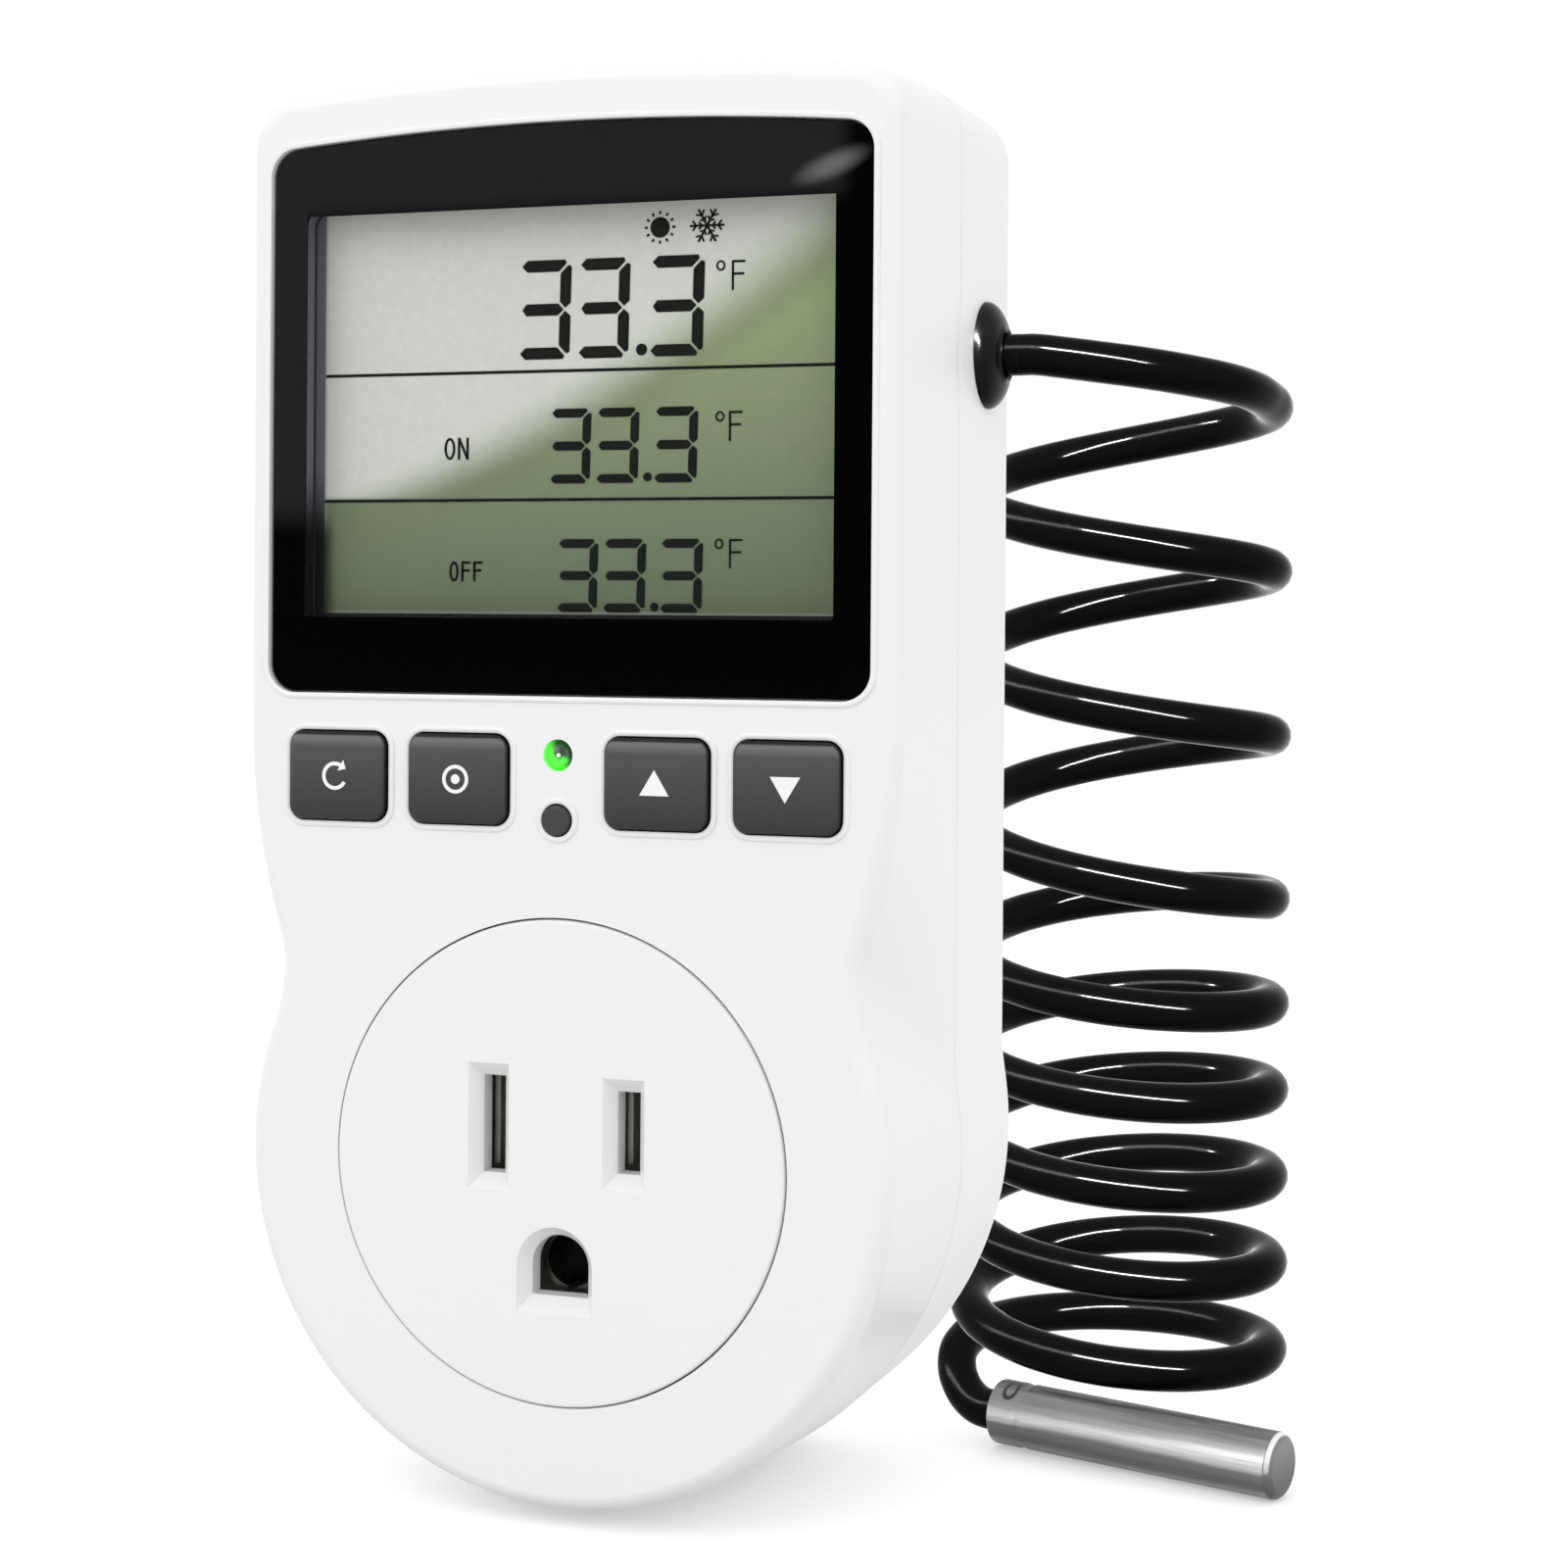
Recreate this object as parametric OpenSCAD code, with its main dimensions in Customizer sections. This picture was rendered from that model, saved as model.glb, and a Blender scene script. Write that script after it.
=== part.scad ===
// Plug-in temperature controller: a grounded plug and outlet, a display with four keys and a
// reset button, and a temperature probe on a coiled lead. Millimetres, +Z up, +X to the right
// as seen from the front, +Y towards the wall. The origin lies on the flat face round the
// plug's blades, on the axis of the round outlet. Depths are counted from the front face.

/* [Housing] */
// Depth of the housing from its front face to its back
body_depth = 35; // [34.5:0.25:40]
// Width of the upper housing at its front face
body_w = 61.2; // [61:0.1:66]
// Growth of the upper half width from the front face to the parting line
side_draft = 0.2; // [0:0.05:0.6]
// Radius of the round lower housing at its front face
lower_r = 30.05; // [29.5:0.05:30.5]
// Growth of the lower radius from the front face to the parting line
lower_draft = 1.45; // [0.4:0.05:2]
// Height of the top above the outlet's axis at the front face
top_z = 94.8; // [94.6:0.2:102]
// Growth of the top from the front face to the parting line
top_draft = 1.2; // [0:0.1:2]
// Rise of the arched top over its width
top_rise = 1.64; // [0.8:0.02:2]
// Radius of the two top corners
corner_r = 5; // [4.5:0.1:6]
// Share of the depth that the front shell takes
parting_share = 0.494; // [0.472:0.002:0.528]
// Wall thickness of the shells
wall = 2.2; // [1.8:0.05:2.3]
// Radius of the front face's rounded edge
front_edge_r = 2; // [1.2:0.1:2.2]
// Radius of the back face's rounded edge
rear_edge_r = 2; // [1.2:0.1:2.2]
// Height where the side starts to draw in towards the waist
waist_start_z = 37.5; // [34:0.5:42]
// Radius of the drawn-in side above the waist
waist_arc_r = 55; // [50:1:90]
// Size of the blend between the waist and the round lower housing
waist_blend = 4.8; // [2:0.1:6]

/* [Display] */
// Distance from the display lens to each side of the housing
lens_side = 2.47; // [2.1:0.01:3.6]
// Height of the lens's lower edge
lens_low_z = 40.4; // [40:0.1:41]
// Height of the lens's arched upper edge at its middle
lens_top_z = 90.2; // [89:0.1:90.6]
// Corner radius of the lens
lens_corner_r = 2.4; // [1:0.1:4]
// Thickness of the lens
lens_t = 1.5; // [1:0.1:2]
// How far the lens lies below the front face
lens_recess = 0.2; // [0.1:0.05:0.4]
// Distance from the window that shows the glass to each side of the lens
window_side = 2.53; // [2.33:0.01:3.6]
// Height of the window's lower edge
window_low_z = 46.4; // [46.2:0.1:48]
// Height of the window's upper edge
window_top_z = 84.3; // [82:0.1:84.4]
// Thickness of the ledge that the lens rests on
ledge_t = 1.3; // [1:0.1:1.5]
// How far the liquid crystal glass reaches past the window at each side
glass_side = 0.3; // [0.25:0.05:0.4]
// Thickness of the liquid crystal glass
glass_t = 2.6; // [2:0.1:2.8]
// Thickness of the light panel
light_t = 2.9; // [2.5:0.1:3.2]
// Thickness of the printed boards
board_t = 1.6; // [1.2:0.1:1.8]

/* [Keys] */
// Width of a square key as a share of the housing's width
key_share = 0.1588; // [0.1504:0.0002:0.16]
// Height of a square key
key_h = 8.1; // [7.4:0.1:8.4]
// Corner radius of a square key
key_corner_r = 1.3; // [0.8:0.1:2]
// Height of the row of keys above the outlet's axis
key_z = 32.95; // [32.8:0.05:33.2]
// Distance of the inner keys from the middle as a share of the housing's width
inner_key_share = 0.1523; // [0.1505:0.0002:0.1551]
// Distance of the outer keys from the middle as a share of the housing's width
outer_key_share = 0.3448; // [0.3432:0.0002:0.348]
// How far the keys stand proud of the front face
key_proud = 0.9; // [0.7:0.05:1.5]
// How far a key travels
key_travel = 0.5; // [0.3:0.05:0.6]
// Gap between a key and its hole
key_gap = 0.2; // [0.15:0.01:0.3]
// Diameter of the round reset button
reset_d = 2.7; // [2.4:0.1:3]
// Height of the reset button
reset_z = 29.6; // [29.2:0.1:30]
// Diameter of the status lamp
led_d = 2.8; // [2.4:0.1:3]
// Height of the status lamp
led_z = 35.2; // [35:0.1:35.6]

/* [Outlet] */
// Diameter of the round socket insert
insert_d = 42; // [41.6:0.1:42.4]
// Gap round the socket insert
insert_gap = 0.2; // [0.1:0.05:0.3]
// Thickness of the insert's face
insert_t = 3; // [2.8:0.1:3.4]
// Distance between the two blade slots
blade_spacing = 12.7; // [12.6:0.05:12.8]
// Height of the blades and slots above the outlet's axis
blade_z = 2.82; // [2.4:0.02:3.2]
// Distance from the blades' line down to the earth pin
earth_drop = 11.89; // [11.8:0.01:12]
// Height of the neutral slot
neutral_slot_h = 8.5; // [8.3:0.1:8.9]
// Height of the line slot
line_slot_h = 7.1; // [6.9:0.1:7.6]
// Width of the slots
slot_w = 2.1; // [2.05:0.05:2.4]
// Width of the earth hole
earth_slot_w = 5.3; // [5.2:0.05:5.6]
// Width of the slanted edge at the sides of each slot
slot_bevel_w = 0.9; // [0.6:0.05:1]
// Width of the slanted edge at the ends of each slot
slot_bevel_h = 1.25; // [0.8:0.05:1.3]
// Depth of the slanted edge
slot_bevel_d = 1.35; // [0.8:0.05:1.5]

/* [Plug] */
// Thickness of the blades
blade_t = 1.5; // [1.4:0.05:1.65]
// Height of the line blade
line_blade_h = 6.35; // [6.2:0.05:6.6]
// Height of the wider neutral blade
neutral_blade_h = 7.94; // [7.8:0.02:8.1]
// How far the blades stand out of the plug face
blade_out = 17.5; // [15.9:0.1:18.2]
// Diameter of the hole near a blade's tip
blade_hole_d = 3.2; // [2.8:0.1:4]
// Distance of that hole from the plug face
blade_hole_out = 11.7; // [11:0.1:12.2]
// Diameter of the earth pin
pin_d = 4.75; // [4.7:0.01:4.8]
// How far the earth pin stands out of the plug face
pin_out = 20.8; // [19:0.1:21.2]
// Diameter of the raised plug face
boss_d = 38; // [32:0.5:42]
// Height of the raised plug face
boss_h = 0.8; // [0.5:0.1:1.2]

/* [Power parts] */
// Height of the pillars that carry the power board
standoff_h = 1.7; // [1.4:0.1:1.9]

/* [Sensor] */
// Diameter of the sensor lead
cord_d = 3.8; // [3.2:0.1:4]
// Diameter of the gland's dome and of its inner flange
gland_d = 9.8; // [9:0.1:10.4]
// How far the gland's dome stands out of the side
gland_out = 2; // [1.5:0.1:2.4]
// Height of the gland above the outlet's axis
gland_z = 71.3; // [68:0.1:74]
// Distance of the gland's axis from the back of the housing
gland_back = 8.6; // [8:0.1:9.2]
// Half width of the coil from side to side
coil_rx = 14.5; // [13.8:0.1:14.6]
// Half width of the coil from front to back
coil_ry = 12.2; // [11:0.1:12.3]
// Drop of each of the upper, wide turns
wide_pitch = 15.8; // [15.8]
// Drop of the turn between the wide and the close ones
middle_pitch = 10.1; // [10.1]
// Drop of each of the lower, close turns
close_pitch = 8.3; // [8.3]
// Diameter of the probe tube
probe_d = 6; // [5.6:0.1:6.2]
// Length of the probe tube
probe_len = 29.5; // [25:0.5:40]
// Wall of the probe tube
probe_wall = 0.35; // [0.3:0.05:0.5]

/* [Hidden] */

// Facets of round things, and how far a cut runs past what it cuts
$fn = 48;
over = 1;
// Gap between pieces that seat on each other, and between a pin or screw and its hole
seat = 0.1;
slack = 0.1;

// Places that follow from the sizes above
front_y = -(body_depth + boss_h);
half_w = body_w / 2;
parting_depth = body_depth * parting_share;
gland_depth = body_depth - gland_back;
lens_w = body_w - 2 * lens_side;
window_w = lens_w - 2 * window_side;
glass_w = window_w + 2 * glass_side;
key_w = body_w * key_share;
inner_key_x = body_w * inner_key_share;
outer_key_x = body_w * outer_key_share;
slot_x = blade_spacing / 2;
earth_z = blade_z - earth_drop;
rear_inner = body_depth - wall;
lens_floor = lens_recess + lens_t;
ledge_back = lens_floor + ledge_t;
frame_lip = 0.4;
glass_front = ledge_back + frame_lip;
light_front = glass_front + glass_t;
board_front = light_front + light_t + seat;
board_back = board_front + board_t;
power_back = rear_inner - standoff_h;
power_front = power_back - board_t;

// Sizes of the parts on the power board: width, height and depth, or diameter and length.
// The tall ones stay clear of the display board and its chip.
tall_clear = 3.5;
tall = power_front - board_back - tall_clear;
relay_size = [15.5, 19, tall];
x_cap_lower = 1;
x_cap_size = [18, 8.5, tall - x_cap_lower];
rectifier_size = [8, 6.4, 3];
bulk_cap_size = [10, tall];
varistor_size = [9, 4];
fuse_size = [5.2, 20];

// A piece's own extrusion: a flat outline in X and Z, from one depth to a greater one
module slab(depth, thick) {
    translate([0, front_y + depth + thick, 0]) rotate([90, 0, 0]) linear_extrude(thick) children();
}

// A round pillar along the depth
module post(x, z, depth, long, r) {
    slab(depth, long) translate([x, z]) circle(r);
}

// A box by its middle in X and Z, its front depth and its three sizes
module block(x, z, depth, size) {
    translate([x - size[0] / 2, front_y + depth, z - size[1] / 2]) cube([size[0], size[2], size[1]]);
}

function arc_points(cx, cz, r, from, to, steps) =
    [for (i = [0:steps]) let (a = from + (to - from) * i / steps) [cx + r * cos(a), cz + r * sin(a)]];

function round_box(w, h, r, steps = 5) = concat(
    arc_points(w / 2 - r, h / 2 - r, r, 90, 0, steps),
    arc_points(w / 2 - r, r - h / 2, r, 0, -90, steps),
    arc_points(r - w / 2, r - h / 2, r, -90, -180, steps),
    arc_points(r - w / 2, h / 2 - r, r, 180, 90, steps));

// The housing's outline. The half width follows a straight side, an arc that draws in towards
// the waist and fades out towards the parting line, and the round lower part.
top_steps = 8;
corner_steps = 5;
waist_steps = 16;
round_steps = 14;
waist_fade_power = 1.6;
rear_blend = 0.4;

function grown(depth) = min(depth / parting_depth, 1);
function fade(depth) = pow(1 - grown(depth), waist_fade_power);
function side_at(depth) = half_w + side_draft * grown(depth);
function round_at(depth) = lower_r + lower_draft * grown(depth);
function top_at(depth) = top_z + top_draft * grown(depth);
function drawn_in(z) = z >= waist_start_z ? 0
    : waist_arc_r - sqrt(pow(waist_arc_r, 2) - pow(waist_start_z - z, 2));
function blended(a, b, k) = max(a, b) + pow(max(k - abs(a - b), 0), 2) / (4 * k);
function half_width(z, depth) = blended(side_at(depth) - fade(depth) * drawn_in(z),
    sqrt(max(pow(round_at(depth), 2) - z * z, 0)),
    rear_blend + (waist_blend - rear_blend) * fade(depth));

// The right half of an arched top, from its middle to the straight side
function arched_corner(w, top, r) = let (
    tilt = atan(2 * top_rise * (w - r) / pow(half_w, 2)),
    x_end = w - r + r * sin(tilt),
    z_end = top - top_rise * pow(x_end / half_w, 2))
    concat(
        [for (i = [0:top_steps - 1]) let (x = x_end * i / top_steps)
            [x, top - top_rise * pow(x / half_w, 2)]],
        arc_points(w - r, z_end - r * cos(tilt), r, 90 - tilt, 0, corner_steps));

function mirrored(right) = concat(right,
    [for (i = [len(right) - 1:-1:0]) if (right[i][0] > 0) [-right[i][0], right[i][1]]]);

function outline(depth) = mirrored(concat(
    arched_corner(side_at(depth), top_at(depth), corner_r),
    [for (i = [0:waist_steps]) let (z = waist_start_z * (1 - i / waist_steps))
        [half_width(z, depth), z]],
    [for (i = [1:round_steps]) let (a = -90 * i / round_steps)
        [i == round_steps ? 0 : round_at(depth) * cos(a), round_at(depth) * sin(a)]]));

// Each point moved inwards, square to the outline, which runs clockwise
function inset(points, t) = let (n = len(points))
    [for (i = [0:n - 1]) let (d = points[(i + 1) % n] - points[(i + n - 1) % n])
        points[i] + t / norm(d) * [d[1], -d[0]]];

// A solid through rings, each given as its depth and its inset from the outline there
module loft(rings) {
    n = len(outline(0));
    last = len(rings) - 1;
    points = [for (r = rings) for (p = inset(outline(r[0]), r[1])) [p[0], front_y + r[0], p[1]]];
    sides = [for (k = [0:last - 1]) for (i = [0:n - 1]) let (a = k * n + i, b = k * n + (i + 1) % n)
        each [[a, b + n, b], [a, a + n, b + n]]];
    polyhedron(points, concat([[for (i = [0:n - 1]) i]], sides, [[for (i = [n - 1:-1:0]) last * n + i]]));
}

// Everything in front of a depth
module in_front_of(depth) {
    block(0, top_z / 2, depth - 2 * over, [2 * body_w, 2 * top_z, 2 * over]);
}

edge_steps = 4;
fade_steps = 6;
function rounded_edge(r) = [for (i = [0:edge_steps]) let (a = 90 * i / edge_steps)
    [r * (1 - cos(a)), r * (1 - sin(a))]];
// The edge's first slope carried on in front of the face, so that a plane can cut it there
function lead_in(r) = let (e = rounded_edge(r)[1]) [-seat, r + seat * (r - e[1]) / e[0]];
function between(from, to, steps) = [for (i = [1:steps]) from + (to - from) * i / steps];

// A flat outline with the housing's arched top, such as the lens's
function arched_box(w, low, top, r) = mirrored(concat(arched_corner(w / 2, top, r),
    arc_points(w / 2 - r, low + r, r, 0, -90, corner_steps)));
lens_gap = 0.15;
function lens_outline(grow) = arched_box(lens_w + 2 * grow, lens_low_z - grow, lens_top_z + grow,
    lens_corner_r + grow);

// Screws and their pillars: places, radii and lengths
case_screw_side = 6.2;
case_screw_top = [half_w - case_screw_side, 88.5];
case_screw_low = [18.95, 18.95];
case_screws_at = [for (s = [-1, 1]) each [[s * case_screw_top[0], case_screw_top[1]],
    [s * case_screw_low[0], -case_screw_low[1]]]];
case_screw_r = 1.3;
case_head_r = 2.3;
case_head_h = 1.8;
case_head_sunk = 8;
case_screw_len = 18;
case_pillar_r = 2.8;
case_socket_r = 3.6;
board_screw_r = 1;
board_head_r = 1.9;
board_head_h = 1.2;
board_screw_len = 4;
board_pillar_r = 2.2;
// Distance of the board screws from the housing's side, and their height
board_screw_places = [[8.1, 42.2], [14.6, 88.2]];
board_screws_at = [for (s = [-1, 1]) for (p = board_screw_places) [s * (half_w - p[0]), p[1]]];
power_screw_places = [[7.6, 29.6], [7.6, 80.8]];
power_screws_at = [for (s = [-1, 1]) for (p = power_screw_places) [s * (half_w - p[0]), p[1]]];

rim_w = 0.55;
rim_h = 0.25;
rim_root = 0.7;
ledge_side = 1.3;
key_xs = [-outer_key_x, -inner_key_x, inner_key_x, outer_key_x];

module key_outline(grow) {
    polygon(round_box(key_w + 2 * grow, key_h + 2 * grow, key_corner_r + grow));
}

insert_r = insert_d / 2;
reset_r = reset_d / 2;
led_r = led_d / 2;

module front_shell() color("white") difference() {
    union() {
        difference() {
            loft(concat([lead_in(front_edge_r)], [for (i = [1:edge_steps]) rounded_edge(front_edge_r)[i]],
                [for (d = between(front_edge_r, parting_depth, fade_steps)) [d, 0]]));
            in_front_of(0);
            difference() {
                loft(concat([[wall - 2 * seat, wall]],
                    [for (d = between(wall, parting_depth, fade_steps)) [d, wall]],
                    [[parting_depth + over, wall]]));
                in_front_of(wall);
            }
        }
        slab(wall / 2, ledge_back - wall / 2) polygon(lens_outline(ledge_side));
        slab(-rim_h, rim_h + rim_root) polygon(lens_outline(lens_gap + rim_w));
        for (x = key_xs) slab(-rim_h, rim_h + rim_root) translate([x, key_z]) key_outline(key_gap + rim_w);
        post(0, reset_z, -rim_h, rim_h + rim_root, reset_r + key_gap + rim_w);
        for (p = case_screws_at) post(p[0], p[1], wall / 2, parting_depth - wall / 2, case_pillar_r);
        for (p = board_screws_at) post(p[0], p[1], wall / 2, board_front - wall / 2, board_pillar_r);
    }
    slab(-over, lens_floor + over) polygon(lens_outline(lens_gap));
    slab(lens_floor - over, ledge_t + 2 * over)
        polygon(arched_box(window_w, window_low_z, window_top_z, lens_corner_r / 2));
    for (x = key_xs) slab(-over, wall + 2 * over) translate([x, key_z]) key_outline(key_gap);
    post(0, reset_z, -over, wall + 2 * over, reset_r + key_gap);
    post(0, led_z, -over, wall + 2 * over, led_r + slack);
    post(0, 0, -over, wall + 2 * over, insert_r + insert_gap);
    for (p = case_screws_at) post(p[0], p[1], body_depth - case_head_sunk - case_screw_len - over,
        case_screw_len, case_screw_r + slack / 2);
    for (p = board_screws_at) post(p[0], p[1], board_back - board_screw_len - over,
        board_screw_len + over, board_screw_r + slack / 2);
}

// The rear shell's tongues reach behind the front shell's rim
tongue_t = 1.2;
tongue_h = 8;
tongue_reach = 2.4;
tongue_root = 3;
tongues_at = [52, 78];
gland_neck_r = 3.6;
gland_y = front_y + gland_depth;
side_x = half_w + side_draft;

module rear_shell() color("white") difference() {
    union() {
        difference() {
            loft(concat([[parting_depth, 0]], [for (i = [edge_steps:-1:0])
                let (e = rounded_edge(rear_edge_r)[i]) [body_depth - e[0], e[1]]]));
            loft([[parting_depth - over, wall], [rear_inner, wall]]);
        }
        post(0, 0, body_depth - wall / 2, wall / 2 + boss_h, boss_d / 2);
        for (p = case_screws_at) post(p[0], p[1], parting_depth, body_depth - wall / 2 - parting_depth,
            case_socket_r);
        for (p = power_screws_at) post(p[0], p[1], power_back, body_depth - wall / 2 - power_back,
            board_pillar_r);
        for (s = [-1, 1]) for (z = tongues_at) {
            block(s * (side_x - wall - slack - tongue_t / 2), z, parting_depth - tongue_reach,
                [tongue_t, tongue_h, tongue_reach + tongue_root]);
            block(s * (side_x - wall - slack / 2), z, parting_depth, [tongue_t, tongue_h, tongue_root]);
        }
    }
    for (p = case_screws_at) {
        post(p[0], p[1], parting_depth - over, body_depth, case_screw_r + slack);
        post(p[0], p[1], body_depth - case_head_sunk, case_head_sunk + over, case_head_r + slack);
    }
    for (p = power_screws_at) post(p[0], p[1], power_back - over, board_screw_len - board_t + over + slack,
        board_screw_r + slack / 2);
    blade_holes(rear_inner - over, wall + boss_h + 2 * over);
    translate([side_x - 2 * wall, gland_y, gland_z]) rotate([0, 90, 0])
        cylinder(h = 3 * wall, r = gland_neck_r + slack);
}

// The openings that the blades and the earth pin pass through
pin_root_r = 2.7;
module blade_holes(depth, long) {
    block(-slot_x, blade_z, depth, [blade_t + 2 * slack, neutral_blade_h + 2 * slack, long]);
    block(slot_x, blade_z, depth, [blade_t + 2 * slack, line_blade_h + 2 * slack, long]);
    post(0, earth_z, depth, long, pin_root_r + slack);
}

module display_lens() color("black", 0.9)
    slab(lens_recess, lens_t) polygon(lens_outline(0));

glass_low = window_low_z - (glass_w - window_w) / 2 - frame_lip / 2;
glass_top = window_top_z + (glass_w - window_w) / 2 + frame_lip / 2;
glass_h = glass_top - glass_low;
glass_z = (glass_top + glass_low) / 2;
frame_wall = 0.6;

// The frame holds the glass and the light panel against the ledge behind the lens
module lcd_frame() color("dimgray") difference() {
    block(0, glass_z, ledge_back + seat, [glass_w + 2 * frame_wall, glass_h + 2 * frame_wall,
        board_front - ledge_back - 2 * seat]);
    slab(ledge_back - over, frame_lip + 2 * over)
        polygon(arched_box(window_w, window_low_z, window_top_z, lens_corner_r / 2));
    block(0, glass_z, glass_front, [glass_w + slack, glass_h + slack, board_front]);
}

// Two plates of glass, the rear one longer at its lower edge for the contacts
contact_edge = 2.4;
module lcd_panel() color("darkseagreen") {
    block(0, glass_z + contact_edge / 2, glass_front, [glass_w, glass_h - contact_edge, glass_t]);
    block(0, glass_z, glass_front + glass_t / 2, [glass_w, glass_h, glass_t / 2]);
}

strip_t = 1.8;
module light_panel() color("ivory")
    block(0, glass_z + contact_edge / 2, light_front, [glass_w, glass_h - contact_edge, light_t]);

// Rubber strips that lead from the glass's lower edge to the board, on both sides of the light panel
strip_from_x = 3.6;
strip_end = 0.7;
strip_w = glass_w / 2 - strip_from_x - strip_end;
strip_x = strip_from_x + strip_w / 2;
module contact_strips() color("hotpink") for (s = [-1, 1])
    block(s * strip_x, glass_low + contact_edge / 2, light_front, [strip_w, strip_t, light_t + seat]);

board_side = 4.2;
board_half_w = half_w - board_side;
board_low_z = 24.4;
board_shoulder_z = 85.2;
board_top_z = 90.8;
board_neck_side = 11.2;
board_neck_w = half_w - board_neck_side;
module display_board() color("seagreen") difference() {
    slab(board_front, board_t) polygon(mirrored([[0, board_top_z], [board_neck_w, board_top_z],
        [board_neck_w, board_shoulder_z], [board_half_w, board_shoulder_z], [board_half_w, board_low_z],
        [0, board_low_z]]));
    for (p = board_screws_at)
        post(p[0], p[1], board_front - over, board_t + 2 * over, board_screw_r + slack);
}

chip_w = 10;
chip_t = 1.4;
chip_z = 60;
chip_pins = 11;
chip_pin_w = 0.3;
chip_step = 0.8;
module controller_chip() color("black") {
    block(0, chip_z, board_back, [chip_w, chip_w, chip_t]);
    for (i = [0:chip_pins - 1]) let (at = (i - (chip_pins - 1) / 2) * chip_step) {
        block(at, chip_z, board_back, [chip_pin_w, chip_w + chip_t, chip_pin_w]);
        block(0, chip_z + at, board_back, [chip_w + chip_t, chip_pin_w, chip_pin_w]);
    }
}

led_proud = 0.35;
led_len = 5;
led_flange = 0.4;
led_leg = 0.5;
led_leg_gap = 1.27;
module status_led() color("limegreen") {
    translate([0, front_y - led_proud + led_r, led_z]) sphere(led_r);
    post(0, led_z, led_r - led_proud, led_len - led_r, led_r);
    post(0, led_z, led_len - led_proud - led_flange, 2 * led_flange, led_r + led_flange);
    for (s = [-1, 1]) block(s * led_leg_gap / 2, led_z, led_len - led_proud,
        [led_leg, led_leg, board_front - led_len + led_proud]);
}

// Push switches: the body is fixed to the board, the plunger moves with its key
switch_w = 6;
switch_h = 3.4;
plunger_r = 1.7;
plunger_proud = 1.1;
plunger_deep = 0.6;
switch_front = board_front - switch_h;
plunger_front = switch_front - plunger_proud;
flange_side = 0.75;
flange_t = 1;
flange_gap = 0.15;
stem_r = 2;
key_edge = 0.35;
key_places = [for (x = key_xs) [x, key_z]];

module key(x) {
    // The cap's front edge is slanted
    hull() {
        slab(-key_proud, key_edge) translate([x, key_z]) key_outline(-key_edge);
        slab(key_edge - key_proud, key_edge) translate([x, key_z]) key_outline(0);
    }
    slab(key_edge - key_proud, key_proud + wall + flange_gap - key_edge + flange_t / 2)
        translate([x, key_z]) key_outline(0);
    slab(wall + flange_gap, flange_t) translate([x, key_z]) key_outline(flange_side);
    post(x, key_z, wall + flange_gap, plunger_front - wall - flange_gap, stem_r);
}
module mode_key() color("dimgray") key(key_xs[0]);
module set_key() color("dimgray") key(key_xs[1]);
module up_key() color("dimgray") key(key_xs[2]);
module down_key() color("dimgray") key(key_xs[3]);

reset_proud = 0.5;
reset_flange = 0.8;
module reset_key() color("dimgray") {
    post(0, reset_z, -reset_proud, reset_proud + plunger_front, reset_r);
    post(0, reset_z, wall + flange_gap, flange_t, reset_r + reset_flange);
}

module plunger(p) color("black")
    post(p[0], p[1], plunger_front, plunger_proud + plunger_deep, plunger_r);
module mode_plunger() plunger(key_places[0]);
module set_plunger() plunger(key_places[1]);
module up_plunger() plunger(key_places[2]);
module down_plunger() plunger(key_places[3]);
module reset_plunger() plunger([0, reset_z]);

module push_switches() color("silver") for (p = concat(key_places, [[0, reset_z]])) difference() {
    block(p[0], p[1], switch_front, [switch_w, switch_w, switch_h]);
    post(p[0], p[1], switch_front - over, over + plunger_deep + key_travel + slack, plunger_r + slack);
}

module screw(x, z, head_back, r, head_r, head_h, long) {
    post(x, z, head_back - head_h, head_h, head_r);
    post(x, z, head_back - over, long + over, r);
}

// A screw whose head faces the back
module screw_from_back(x, z, head_front, r, head_r, head_h, long) {
    post(x, z, head_front, head_h, head_r);
    post(x, z, head_front - long, long + head_h / 2, r);
}

module board_screws() color("silver") {
    for (p = board_screws_at) screw_from_back(p[0], p[1], board_back, board_screw_r, board_head_r,
        board_head_h, board_screw_len);
    for (p = power_screws_at) screw(p[0], p[1], power_front, board_screw_r, board_head_r,
        board_head_h, board_screw_len);
}

module case_screws() color("silver") for (p = case_screws_at)
    screw_from_back(p[0], p[1], body_depth - case_head_sunk, case_screw_r, case_head_r, case_head_h,
        case_screw_len);

// The socket insert is a cup whose face has the slots, closed behind by the contact carrier
carrier_share = 0.4787;
carrier_front = rear_inner * carrier_share;
carrier_t = 6;
skirt_t = 2;
insert_flange_r = 22.6;
insert_flange_t = 1.6;
tail_x = 11.5;
tail_w = 4;
tail_t = 0.6;
tail_top_z = 28;

earth_steps = 12;
function earth_outline(grow) = let (r = earth_slot_w / 2, low = -r - grow * slot_bevel_h / slot_bevel_w)
    concat(arc_points(0, 0, r + grow, 180, 0, earth_steps), [[r + grow, low], [-r - grow, low]]);

// A slot with straight walls behind a slanted edge, which runs on in front of the face
bevel_start = (slot_bevel_d + over - seat) / slot_bevel_d;
module beveled(x, z, w, h) {
    block(x, z, slot_bevel_d / 2, [w, h, insert_t]);
    hull() {
        block(x, z, -over, [w + 2 * slot_bevel_w * bevel_start, h + 2 * slot_bevel_h * bevel_start, seat]);
        block(x, z, slot_bevel_d, [w, h, seat]);
    }
}

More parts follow.
